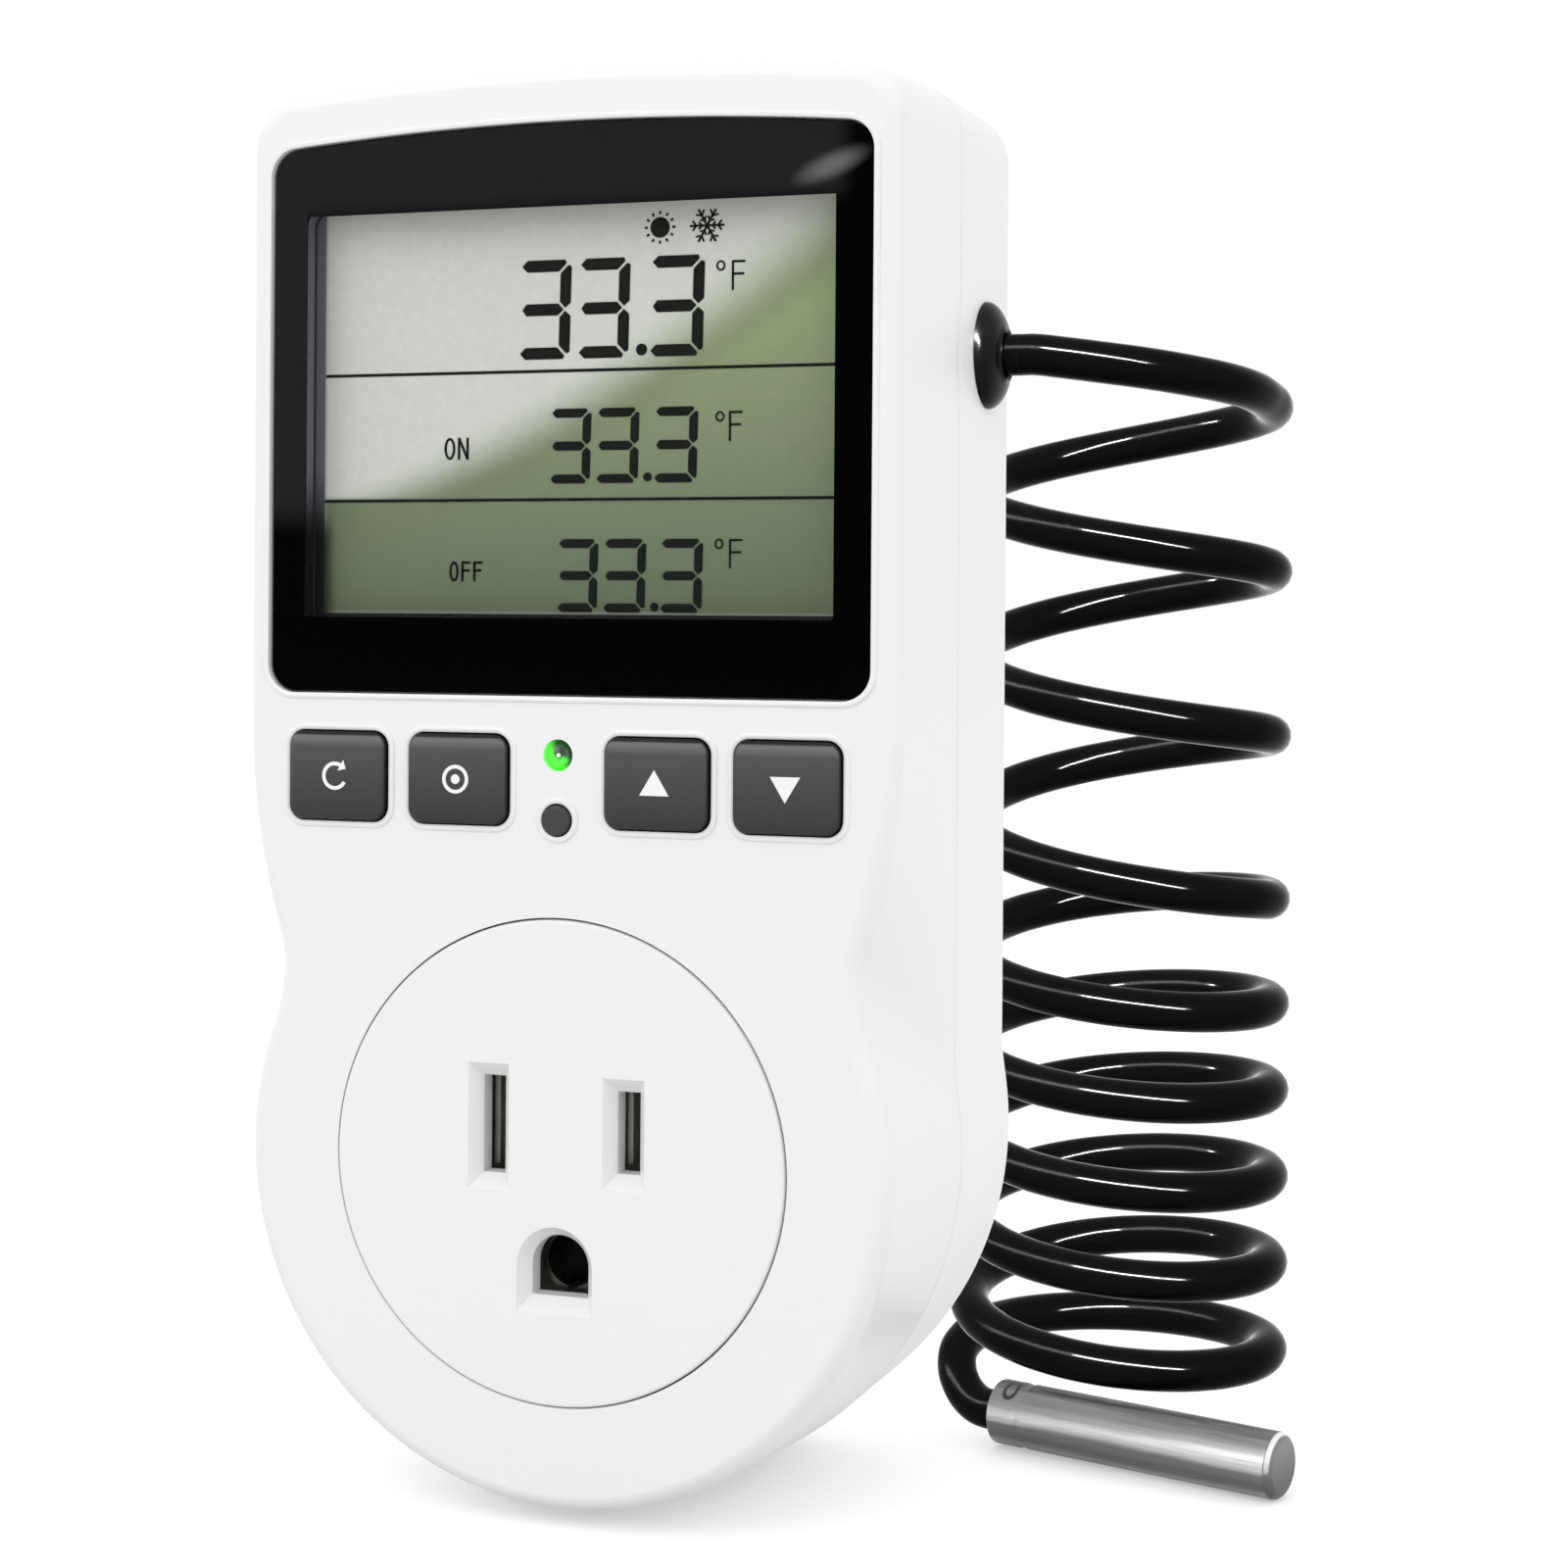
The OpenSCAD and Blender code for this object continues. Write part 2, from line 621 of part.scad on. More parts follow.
module socket_insert() color("whitesmoke") difference() {
    union() {
        post(0, 0, 0, insert_t, insert_r);
        difference() {
            union() {
                post(0, 0, insert_t / 2, carrier_front - seat - insert_t / 2, insert_r);
                post(0, 0, wall + seat, insert_flange_t, insert_flange_r);
            }
            post(0, 0, insert_t, carrier_front, insert_r - skirt_t);
        }
    }
    beveled(-slot_x, blade_z, slot_w, neutral_slot_h);
    beveled(slot_x, blade_z, slot_w, line_slot_h);
    slab(slot_bevel_d / 2, insert_t) translate([0, earth_z]) polygon(earth_outline(0));
    hull() {
        slab(-over, seat) translate([0, earth_z]) polygon(earth_outline(slot_bevel_w * bevel_start));
        slab(slot_bevel_d, seat) translate([0, earth_z]) polygon(earth_outline(0));
    }
    for (s = [-1, 1]) block(s * tail_x, insert_r, carrier_front - seat - tail_t - seat,
        [tail_w + 2 * seat, insert_r, carrier_front]);
}

// A contact: two leaves that grip a blade, a base, and a tail that runs up to the power board
leaf_t = 0.5;
leaf_front = 4.2;
leaf_gap = 1.6;
base_side = 2.6;
contact_back = carrier_front - seat / 2;
module blade_contact(s, leaf_h) {
    base_front = contact_back - tail_t;
    for (side = [-1, 1]) block(s * slot_x + side * (leaf_gap + leaf_t) / 2, blade_z, leaf_front,
        [leaf_t, leaf_h, contact_back - leaf_front]);
    block(s * (slot_x + tail_x + tail_w / 2 - base_side) / 2, blade_z, base_front,
        [tail_x + tail_w / 2 - slot_x + base_side, leaf_h, tail_t]);
    block(s * tail_x, (blade_z + tail_top_z) / 2, base_front, [tail_w, tail_top_z - blade_z, tail_t]);
    block(s * tail_x, tail_top_z - tail_t / 2, base_front, [tail_w, tail_t, power_front - base_front]);
}
module line_contact() color("goldenrod") blade_contact(1, line_blade_h);
module neutral_contact() color("goldenrod") blade_contact(-1, neutral_blade_h);

// The earth contact is a slit sleeve on a base
sleeve_r = 2.45;
sleeve_t = 0.5;
sleeve_slit = 1;
earth_base_r = 4;
module earth_contact() color("goldenrod") difference() {
    union() {
        post(0, earth_z, leaf_front, contact_back - leaf_front, sleeve_r + sleeve_t);
        post(0, earth_z, contact_back - tail_t, tail_t, earth_base_r);
    }
    post(0, earth_z, leaf_front - over, contact_back - tail_t - leaf_front + over, sleeve_r);
    block(0, earth_z - sleeve_r, leaf_front - over, [sleeve_slit, 2 * sleeve_t + over,
        contact_back - 2 * tail_t - leaf_front + over]);
}

carrier_r = insert_r - seat;
carrier_back = carrier_front + carrier_t;
module contact_carrier() color("lightgray") difference() {
    post(0, 0, carrier_front, carrier_t, carrier_r);
    block(-slot_x, blade_z, carrier_front - over, [blade_t + 2 * slack, neutral_blade_h + 2 * slack,
        carrier_t + 2 * over]);
    post(0, earth_z, carrier_front - over, carrier_t + 2 * over, pin_root_r + slack);
}

holder_r = 16;
holder_front = carrier_back + seat;
holder_back = rear_inner - seat;
tab_gap = 2.7;
tab_front = carrier_back + tab_gap;
tab_top_z = 30;
module blade_holder() color("lightgray") difference() {
    post(0, 0, holder_front, holder_back - holder_front, holder_r);
    blade_holes(holder_front - over, body_depth);
    block(slot_x, blade_z + holder_r / 2, tab_front - slack, [blade_t + 2 * slack, holder_r + 2 * over,
        power_front - tab_front + 2 * slack]);
}

// A blade's outline in Y and Z, with its tip cut back at both corners
tip_cut = 1.2;
blade_tip = body_depth + boss_h + blade_out;
module blade(s, h, root) difference() {
    translate([s * slot_x - blade_t / 2, 0, blade_z]) rotate([90, 0, 90]) linear_extrude(blade_t)
        polygon([for (p = [[root, h / 2], [blade_tip - tip_cut, h / 2], [blade_tip, h / 2 - tip_cut],
            [blade_tip, tip_cut - h / 2], [blade_tip - tip_cut, -h / 2], [root, -h / 2]])
            [front_y + p[0], p[1]]]);
    translate([s * slot_x - over, blade_hole_out, blade_z]) rotate([0, 90, 0])
        cylinder(h = 2 * over, r = blade_hole_d / 2);
}
module neutral_blade() color("silver") blade(-1, neutral_blade_h, carrier_front);
module line_blade() color("silver") {
    blade(1, line_blade_h, tab_front);
    block(slot_x, (blade_z + tab_top_z) / 2, tab_front,
        [blade_t, tab_top_z - blade_z, power_front - tab_front]);
}

module earth_pin() color("silver") {
    post(0, earth_z, carrier_front, body_depth + boss_h - carrier_front, pin_root_r);
    post(0, earth_z, body_depth + boss_h - over, pin_out - pin_d / 2 + over, pin_d / 2);
    translate([0, pin_out - pin_d / 2, earth_z]) sphere(pin_d / 2);
}

power_side = 4.7;
power_half_w = half_w - power_side;
power_low_z = 27;
power_top_z = 83.6;
module power_board() color("seagreen") difference() {
    block(0, (power_low_z + power_top_z) / 2, power_front,
        [2 * power_half_w, power_top_z - power_low_z, board_t]);
    for (p = power_screws_at)
        post(p[0], p[1], power_front - over, board_t + 2 * over, board_screw_r + slack);
}

// A part that stands on the power board, by its middle and its width, height and depth
module on_power_board(x, z, size) {
    block(x, z, power_front - size[2], size);
}

relay_at = [-12.4, 41.5];
module relay() color("royalblue") on_power_board(relay_at[0], relay_at[1], relay_size);

x_cap_at = [11.8, 37.4];
module suppression_capacitor() color("gold") on_power_board(x_cap_at[0], x_cap_at[1], x_cap_size);

fuse_at = [12, 47.5];
fuse_cap_len = 5;
fuse_cap_t = 0.2;
fuse_lift = 0.8;
fuse_depth = power_front - fuse_lift - fuse_size[0] / 2 - fuse_cap_t;
module along_x(x, z, depth, long, r) {
    translate([x - long / 2, front_y + depth, z]) rotate([0, 90, 0]) cylinder(h = long, r = r);
}
module fuse() color("lightcyan") {
    along_x(fuse_at[0], fuse_at[1], fuse_depth, fuse_size[1], fuse_size[0] / 2);
    for (s = [-1, 1]) along_x(fuse_at[0] + s * (fuse_size[1] - fuse_cap_len) / 2, fuse_at[1], fuse_depth,
        fuse_cap_len, fuse_size[0] / 2 + fuse_cap_t);
}

clip_w = 3.6;
clip_t = 0.5;
module fuse_clips() color("silver") for (s = [-1, 1]) difference() {
    on_power_board(fuse_at[0] + s * (fuse_size[1] - fuse_cap_len) / 2, fuse_at[1],
        [clip_w, fuse_size[0] + 2 * fuse_cap_t + 2 * clip_t, power_front - fuse_depth + clip_t]);
    along_x(fuse_at[0], fuse_at[1], fuse_depth, 2 * fuse_size[1], fuse_size[0] / 2 + fuse_cap_t + slack / 2);
    block(fuse_at[0], fuse_at[1], fuse_depth - fuse_size[0], [2 * fuse_size[1], fuse_size[0], fuse_size[0]]);
}

bulk_cap_side = 12.3;
bulk_cap_at = [bulk_cap_side - power_half_w, 60.5];
module bulk_capacitor() color("midnightblue")
    post(bulk_cap_at[0], bulk_cap_at[1], power_front - bulk_cap_size[1], bulk_cap_size[1],
        bulk_cap_size[0] / 2);

varistor_at = [8, 59];
wire_r = 0.4;
lead_lift = 0.5;
module varistor() color("steelblue") {
    along_x(varistor_at[0], varistor_at[1], power_front - lead_lift - varistor_size[0] / 2, varistor_size[1],
        varistor_size[0] / 2);
    for (s = [-1, 1]) post(varistor_at[0] + s * varistor_size[1] / 4, varistor_at[1],
        power_front - varistor_size[0] / 2, varistor_size[0] / 2, wire_r);
}

rectifier_side = 11.9;
rectifier_at = [rectifier_side - power_half_w, 73];
module rectifier() color("black") on_power_board(rectifier_at[0], rectifier_at[1], rectifier_size);

// Pins that join the two boards, in a strip on the power board
link_pins = 5;
link_step = 2.54;
link_pin_w = 0.64;
link_z = 79.4;
module board_link() color("black") {
    on_power_board(0, link_z, [link_pins * link_step, link_step, link_step]);
    for (i = [0:link_pins - 1]) block((i - (link_pins - 1) / 2) * link_step, link_z, board_back,
        [link_pin_w, link_pin_w, power_front - board_back]);
}

// The lead passes through the gland into its connector on the power board
connector_w = 8;
connector_h = 7;
connector_side = 0.6;
connector_in = 6.2;
connector_x = side_x - connector_in;
connector_front = gland_depth - cord_d / 2 - connector_side;
module sensor_connector() color("white") block(connector_x - connector_w / 2, gland_z, connector_front,
    [connector_w, connector_h, power_front - connector_front]);

gland_wall = 0.05;
gland_flange_t = 1.2;
dome_steps = 8;
dome_arc = 75;
module cable_gland() color("black") translate([side_x, gland_y, gland_z]) rotate([0, 90, 0]) rotate_extrude()
    polygon(concat(
        [[cord_d / 2 + gland_wall, -wall - gland_flange_t - gland_wall],
            [gland_d / 2, -wall - gland_flange_t - gland_wall], [gland_d / 2, -wall - gland_wall],
            [gland_neck_r, -wall - gland_wall], [gland_neck_r, gland_wall]],
        [for (i = [0:dome_steps]) let (a = dome_arc * i / dome_steps)
            [gland_d / 2 * cos(a), gland_wall + gland_out * sin(a)]],
        [[cord_d / 2 + gland_wall, gland_wall + gland_out]]));

lead_exit_x = 34;
module lead_inner_end() color("black") translate([connector_x, gland_y, gland_z]) rotate([0, 90, 0])
    cylinder(h = lead_exit_x - connector_x, r = cord_d / 2);

// The lead's free route, from the gland to the coil and from the coil to the probe
lead_route = [[34, -9.4, 71.3], [35.2, -9.4, 71.3], [37.6, -9.4, 71], [41.3, -8.8, 70.5],
    [45.2, -7.1, 70], [48.6, -4.3, 69.5], [51.1, -0.7, 69.1], [52.7, 3.8, 68.7], [53.2, 8.4, 68.3]];
tail_route = [[24, 9.9, -23.8], [23.8, 7.9, -24.6], [24.1, 6.5, -25.7], [24.8, 5.4, -26.8], [26, 4.4, -27.9],
    [27.6, 3.59, -28.5], [29.6, 3, -28.5]];
coil_centre = [38.8, 11.3];
coil_top_z = 68;
wide_turns = 3;
close_turns = 4;
coil_turns = 8.5;
end_pitch = 1.6;
// How far a turn's drop is moved to its left half: none at 0, all of the fall at the right tip at 1
wide_swing_share = 0.51;
middle_swing_share = 0.94;
close_swing_share = 1.1;
end_swing_share = 0.5;
loop_rings = 24;
joint_gap = 0.4;
coil_sides = 6;
lead_sides = 8;

function of_turn(turn, wide, middle, close, end) = turn < wide_turns ? wide : turn == wide_turns ? middle :
    turn <= wide_turns + close_turns ? close : end;
function pitch_of(turn) = of_turn(turn, wide_pitch, middle_pitch, close_pitch, end_pitch);
function swing_of(turn) = of_turn(turn, wide_swing_share, middle_swing_share, close_swing_share,
    end_swing_share);
function dropped(turn) = turn == 0 ? 0 : dropped(turn - 1) + pitch_of(turn - 1);
function coil_point(u) = let (turn = floor(u), part = u - turn, a = 360 * part)
    [coil_centre[0] + coil_rx * cos(a), coil_centre[1] + coil_ry * sin(a),
        coil_top_z - dropped(turn) - pitch_of(turn) * (part - swing_of(turn) / (2 * PI) * sin(a))];
coil_run = [for (i = [0:loop_rings * coil_turns]) coil_point(i / loop_rings)];
coil_path = concat([lead_route[len(lead_route) - 1] + [0, joint_gap, 0]], coil_run,
    [tail_route[0] + [0, joint_gap, 0]]);

// A round tube along points, with its ends square to its first and last stretch
module tube(path, d, sides) {
    last = len(path) - 1;
    points = [for (i = [0:last]) let (
        t = path[min(i + 1, last)] - path[max(i - 1, 0)],
        across = cross(t, [0, 0, 1]) / norm(cross(t, [0, 0, 1])),
        up = cross(across, t) / norm(cross(across, t)))
        for (k = [0:sides - 1]) let (a = 360 * k / sides) path[i] + d / 2 * (across * cos(a) + up * sin(a))];
    skin = [for (i = [0:last - 1]) for (k = [0:sides - 1])
        let (a = i * sides + k, b = i * sides + (k + 1) % sides)
        each [[a, b, b + sides], [a, b + sides, a + sides]]];
    polyhedron(points, concat([[for (k = [sides - 1:-1:0]) k]], skin,
        [[for (k = [0:sides - 1]) last * sides + k]]));
}

module sensor_lead() color("black") tube(lead_route, cord_d, lead_sides);
module sensor_coil() color("black") tube(coil_path, cord_d, coil_sides);
module probe_lead() color("black") tube(tail_route, cord_d, lead_sides);

coil_gap = min([for (i = [0:len(coil_run) - 1]) for (j = [i + loop_rings / 2:len(coil_run) - 1])
    norm(coil_run[i] - coil_run[j])]) - cord_d;
echo(least_gap_of_coil_to_itself = coil_gap);

probe_at = tail_route[len(tail_route) - 1];
probe_turn = -16.5;
probe_edge_r = 0.8;
seal_len = 20;
bead_len = 4;
bead_r = 2.2;
module along_probe() {
    translate(probe_at) rotate([0, 90, probe_turn]) children();
}

probe_bore_r = probe_d / 2 - probe_wall;
module probe_tube() color("silver") along_probe() rotate_extrude() polygon(concat(
    [[probe_bore_r, 0], [probe_d / 2, 0]],
    arc_points(probe_d / 2 - probe_edge_r, probe_len - probe_edge_r, probe_edge_r, 0, 90, corner_steps),
    [[0, probe_len], [0, probe_len - probe_wall], [probe_bore_r - probe_edge_r / 2, probe_len - probe_wall],
        [probe_bore_r, probe_len - probe_wall - probe_edge_r / 2]]));
module probe_seal() color("black") along_probe() cylinder(h = seal_len, r = probe_bore_r - gland_wall);
module thermistor() color("darkred") along_probe() translate([0, 0, seal_len + gland_wall])
    cylinder(h = bead_len, r = bead_r);

front_shell();
rear_shell();
display_lens();
lcd_frame();
lcd_panel();
light_panel();
contact_strips();
display_board();
controller_chip();
status_led();
mode_key();
set_key();
up_key();
down_key();
reset_key();
mode_plunger();
set_plunger();
up_plunger();
down_plunger();
reset_plunger();
push_switches();
board_screws();
case_screws();
socket_insert();
line_contact();
neutral_contact();
earth_contact();
contact_carrier();
blade_holder();
line_blade();
neutral_blade();
earth_pin();
power_board();
relay();
fuse();
fuse_clips();
suppression_capacitor();
bulk_capacitor();
varistor();
rectifier();
board_link();
sensor_connector();
cable_gland();
lead_inner_end();
sensor_lead();
sensor_coil();
probe_lead();
probe_tube();
probe_seal();
thermistor();
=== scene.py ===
"""The plug-in temperature controller: its looks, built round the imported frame.

Lengths are written in millimetres and become metres where a mesh is made. Depths count from
the front face, as in the part's source.
"""

import math

import bmesh
import bpy
from mathutils import Matrix, Vector


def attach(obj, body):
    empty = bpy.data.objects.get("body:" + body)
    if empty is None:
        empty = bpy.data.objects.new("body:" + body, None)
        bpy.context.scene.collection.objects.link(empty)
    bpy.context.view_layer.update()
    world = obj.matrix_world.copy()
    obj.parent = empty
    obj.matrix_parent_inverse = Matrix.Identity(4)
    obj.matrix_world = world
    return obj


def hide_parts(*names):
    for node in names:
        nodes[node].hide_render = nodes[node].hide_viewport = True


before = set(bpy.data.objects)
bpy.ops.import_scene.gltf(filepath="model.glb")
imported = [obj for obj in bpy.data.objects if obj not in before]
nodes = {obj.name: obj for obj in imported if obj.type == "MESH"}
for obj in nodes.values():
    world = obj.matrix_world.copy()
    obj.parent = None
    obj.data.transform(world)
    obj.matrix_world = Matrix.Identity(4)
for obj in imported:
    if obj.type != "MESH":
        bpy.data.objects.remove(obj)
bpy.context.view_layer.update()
MM = 0.001
ACROSS = Vector((1, 0, 0))
BODY = "housing"

# ---- sizes, as in the part's source
BODY_DEPTH = 35.0
BOSS_H = 0.8
FRONT_Y = -(BODY_DEPTH + BOSS_H)
HALF_W = 30.6
SIDE_DRAFT = 0.2
LOWER_R = 30.05
LOWER_DRAFT = 1.45
TOP_Z = 94.8
TOP_DRAFT = 1.2
TOP_RISE = 1.64
CORNER_R = 5.0
PARTING = 17.29
WALL = 2.2
EDGE_R = 2.0
WAIST_Z = 37.5
WAIST_ARC_R = 55.0
WAIST_BLEND = 4.8
REAR_BLEND = 0.4
WAIST_FADE = 1.6
LENS_W = 56.26
LENS_LOW = 40.4
LENS_TOP = 89.8
LENS_CORNER = 2.4
LENS_GAP = 0.15
LENS_FRONT = 0.2
LENS_BACK = 1.7
WINDOW_W = 51.2
WINDOW_LOW = 46.4
WINDOW_TOP = 84.3
WINDOW_CORNER = 1.2
LEDGE_BACK = 3.0
LEDGE_SIDE = 1.3
GLASS_FRONT = 3.4
GLASS_MIDDLE = 4.7
GLASS_BACK = 6.0
KEY_W = 9.5
KEY_H = 7.8
KEY_CORNER = 1.3
KEY_Z = 32.95
KEY_XS = (-21.1, -9.32, 9.32, 21.1)
KEY_GAP = 0.15
KEY_PROUD = 0.9
RESET_R = 1.3
RESET_Z = 29.6
LED_R = 1.28
LED_Z = 35.2
PLUNGER_FRONT = 4.9
INSERT_R = 21.0
INSERT_GAP = 0.13
INSERT_OFF = (0.1, 0.05)
INSERT_T = 3.0
CARRIER_FRONT = 15.7
SLOT_X = 6.35
SLOT_W = 2.1
SLOT_HEIGHTS = (8.5, 7.1)
BLADE_Z = 2.82
EARTH_Z = -9.07
EARTH_R = 2.65
CORD_D = 3.8
GLAND_AT = (30.8, -9.4, 71.3)
REAR_INNER = BODY_DEPTH - WALL
FUSE_X = 12.0
CASE_SCREWS = [(s * x, z) for s in (-1, 1) for x, z in ((24.4, 88.5), (18.95, -18.95))]
BOARD_SCREWS = [(s * x, z) for s in (-1, 1) for x, z in ((22.5, 42.2), (16.0, 88.2))]
POWER_SCREWS = [(s * 23.0, z) for s in (-1, 1) for z in (29.6, 80.8)]

# ---- camera
CAMERA_AT = (99.5, -259.0, 47.2)
CAMERA_YAW = math.radians(19.47)
CAMERA_ROLL = math.radians(0.42)
CAMERA_LENS = 64.87
CAMERA_SHIFT_Y = -0.106


def placed(name, data):
    """A new object in the scene."""
    made = bpy.data.objects.new(name, data)
    bpy.context.scene.collection.objects.link(made)
    return made


def add_camera():
    ahead = Vector((-math.sin(CAMERA_YAW), math.cos(CAMERA_YAW), 0))
    level = Vector((math.cos(CAMERA_YAW), math.sin(CAMERA_YAW), 0))
    plumb = Vector((0, 0, 1))
    right = level * math.cos(CAMERA_ROLL) + plumb * math.sin(CAMERA_ROLL)
    up = plumb * math.cos(CAMERA_ROLL) - level * math.sin(CAMERA_ROLL)
    data = bpy.data.cameras.new("camera")
    data.lens = CAMERA_LENS
    data.sensor_width = 36
    data.shift_y = CAMERA_SHIFT_Y
    data.clip_start = 0.01
    camera = placed("camera", data)
    turn = Matrix((right, up, -ahead)).transposed().to_4x4()
    camera.matrix_world = Matrix.Translation(Vector(CAMERA_AT) * MM) @ turn
    bpy.context.scene.camera = camera


add_camera()

# ---- the sensor's lead and coil
LEAD_ROUTE = [(34, -9.4, 71.3), (35.2, -9.4, 71.3), (37.6, -9.4, 71), (41.3, -8.8, 70.5),
              (45.2, -7.1, 70), (48.6, -4.3, 69.5), (51.1, -0.7, 69.1), (52.7, 3.8, 68.7),
              (53.2, 8.4, 68.3)]
TAIL_ROUTE = [(24, 9.9, -23.8), (23.8, 7.9, -24.6), (24.1, 6.5, -25.7), (24.8, 5.4, -26.8),
              (26, 4.4, -27.9), (27.6, 3.59, -28.5), (29.6, 3, -28.5)]
COIL_CENTRE = (38.8, 11.3)
COIL_RADII = (14.5, 12.2)
COIL_TOP_Z = 68.0
COIL_TURNS = 8.5
COIL_PITCHES = (15.8, 15.8, 15.8, 10.1, 8.3, 8.3, 8.3, 8.3, 1.6)
COIL_SWINGS = (0.51, 0.51, 0.51, 0.94, 1.1, 1.1, 1.1, 1.1, 0.5)
COIL_STEPS = 24


def coil_point(turns):
    turn = int(turns)
    part = turns - turn
    angle = 2 * math.pi * part
    drop = sum(COIL_PITCHES[:turn])
    drop += COIL_PITCHES[turn] * (part - COIL_SWINGS[turn] / (2 * math.pi) * math.sin(angle))
    return (COIL_CENTRE[0] + COIL_RADII[0] * math.cos(angle),
            COIL_CENTRE[1] + COIL_RADII[1] * math.sin(angle), COIL_TOP_Z - drop)


def add_cord():
    steps = int(COIL_STEPS * COIL_TURNS)
    coil = [coil_point(i / COIL_STEPS) for i in range(steps + 1)]
    route = LEAD_ROUTE + coil + TAIL_ROUTE
    data = bpy.data.curves.new("sensor_cord", "CURVE")
    data.dimensions = "3D"
    data.resolution_u = 4
    data.bevel_depth = CORD_D / 2 * MM
    data.bevel_resolution = 6
    data.use_fill_caps = True
    spline = data.splines.new("BEZIER")
    spline.bezier_points.add(len(route) - 1)
    for knot, place in zip(spline.bezier_points, route):
        knot.co = Vector(place) * MM
        knot.handle_left_type = knot.handle_right_type = "AUTO"
    return placed("sensor_cord", data)


cord = add_cord()


# ---- outlines in X and Z
def around(x, z, r, turn):
    return x + r * math.cos(turn), z + r * math.sin(turn)


def arc(x, z, r, start, end, steps):
    return [around(x, z, r, math.radians(start + (end - start) * i / steps))
            for i in range(steps + 1)]


def circle(x, z, r, steps=96):
    return arc(x, z, r, 90, -270, steps)[:-1]


def mirrored(right):
    return right + [(-x, z) for x, z in reversed(right) if x > 1e-9]


def round_box(x, z, w, h, r, steps=10):
    r = max(r, 0.2)
    return (arc(x + w / 2 - r, z + h / 2 - r, r, 90, 0, steps)
            + arc(x + w / 2 - r, z - h / 2 + r, r, 0, -90, steps)
            + arc(x - w / 2 + r, z - h / 2 + r, r, -90, -180, steps)
            + arc(x - w / 2 + r, z + h / 2 - r, r, 180, 90, steps))


def arched_corner(w, top, r, rise=TOP_RISE, top_steps=20, corner_steps=10):
    tilt = math.degrees(math.atan(2 * rise * (w - r) / HALF_W ** 2))
    x_end = w - r + r * math.sin(math.radians(tilt))
    z_end = top - rise * (x_end / HALF_W) ** 2
    xs = [x_end * i / top_steps for i in range(top_steps)]
    return ([(x, top - rise * (x / HALF_W) ** 2) for x in xs]
            + arc(w - r, z_end - r * math.cos(math.radians(tilt)), r, 90 - tilt, 0, corner_steps))


def arched_box(w, low, top, r, rise=TOP_RISE):
    return mirrored(arched_corner(w / 2, top, r, rise) + arc(w / 2 - r, low + r, r, 0, -90, 10))


def lens_outline(grow):
    return arched_box(LENS_W + 2 * grow, LENS_LOW - grow, LENS_TOP + grow, LENS_CORNER + grow)


def window_outline():
    return arched_box(WINDOW_W, WINDOW_LOW, WINDOW_TOP, WINDOW_CORNER)


def key_outline(x):
    return lambda grow: round_box(x, KEY_Z, KEY_W + 2 * grow, KEY_H + 2 * grow, KEY_CORNER + grow)


def disc(x, z, r):
    return lambda grow: circle(x, z, r + grow)


def blended(a, b, k):
    return max(a, b) + max(k - abs(a - b), 0) ** 2 / (4 * k)


def housing_outline(depth, waist_steps=36, round_steps=32):
    grown = min(depth / PARTING, 1)
    fade = (1 - grown) ** WAIST_FADE
    side = HALF_W + SIDE_DRAFT * grown
    low_r = LOWER_R + LOWER_DRAFT * grown
    right = arched_corner(side, TOP_Z + TOP_DRAFT * grown, CORNER_R)
    for i in range(waist_steps + 1):
        z = WAIST_Z * (1 - i / waist_steps)
        drawn_in = WAIST_ARC_R - math.sqrt(WAIST_ARC_R ** 2 - (WAIST_Z - z) ** 2)
        round_x = math.sqrt(max(low_r ** 2 - z * z, 0))
        width = REAR_BLEND + (WAIST_BLEND - REAR_BLEND) * fade
        right.append((blended(side - fade * drawn_in, round_x, width), z))
    right += arc(0, 0, low_r, 0, -90, round_steps)[1:-1] + [(0, -low_r)]
    return mirrored(right)


def inset(points, amount):
    """Each point moved inwards, square to the outline, which runs clockwise."""
    moved = []
    for before, here, after in zip(points[-1:] + points[:-1], points, points[1:] + points[:1]):
        dx, dz = after[0] - before[0], after[1] - before[1]
        size = math.hypot(dx, dz)
        moved.append((here[0] + amount * dz / size, here[1] - amount * dx / size))
    return moved


# ---- solids
def flat(points, depth):
    return [(x, FRONT_Y + depth, z) for x, z in points]


def solid(name, rings, loop=False, parts=None):
    """A closed skin through rings of equally many points, given in millimetres. parts gives the
    material number of each band between two rings, and last that of both end faces."""
    count = len(rings[0])
    points = [Vector(p) * MM for ring in rings for p in ring]
    faces, numbers = [], []
    bands = len(rings) if loop else len(rings) - 1
    for k in range(bands):
        a, b = k * count, (k + 1) % len(rings) * count
        faces += [(a + i, a + (i + 1) % count, b + (i + 1) % count, b + i) for i in range(count)]
        numbers += [parts[k] if parts else 0] * count
    if not loop:
        faces += [tuple(reversed(range(count))), tuple(range(len(points) - count, len(points)))]
        numbers += [parts[-1] if parts else 0] * 2
    mesh = bpy.data.meshes.new(name)
    mesh.from_pydata(points, [], faces)
    mesh.polygons.foreach_set("material_index", numbers)
    squared = bmesh.new()
    squared.from_mesh(mesh)
    bmesh.ops.recalc_face_normals(squared, faces=squared.faces)
    squared.to_mesh(mesh)
    squared.free()
    return placed(name, mesh)


def prism(points, front, back, name="block"):
    return solid(name, [flat(points, front), flat(points, back)])


def profiled(name, outline_at, profile, loop=False):
    """A solid whose outline grows and shrinks along its depth: profile is (growth, depth)."""
    return solid(name, [flat(outline_at(grow), depth) for grow, depth in profile], loop)


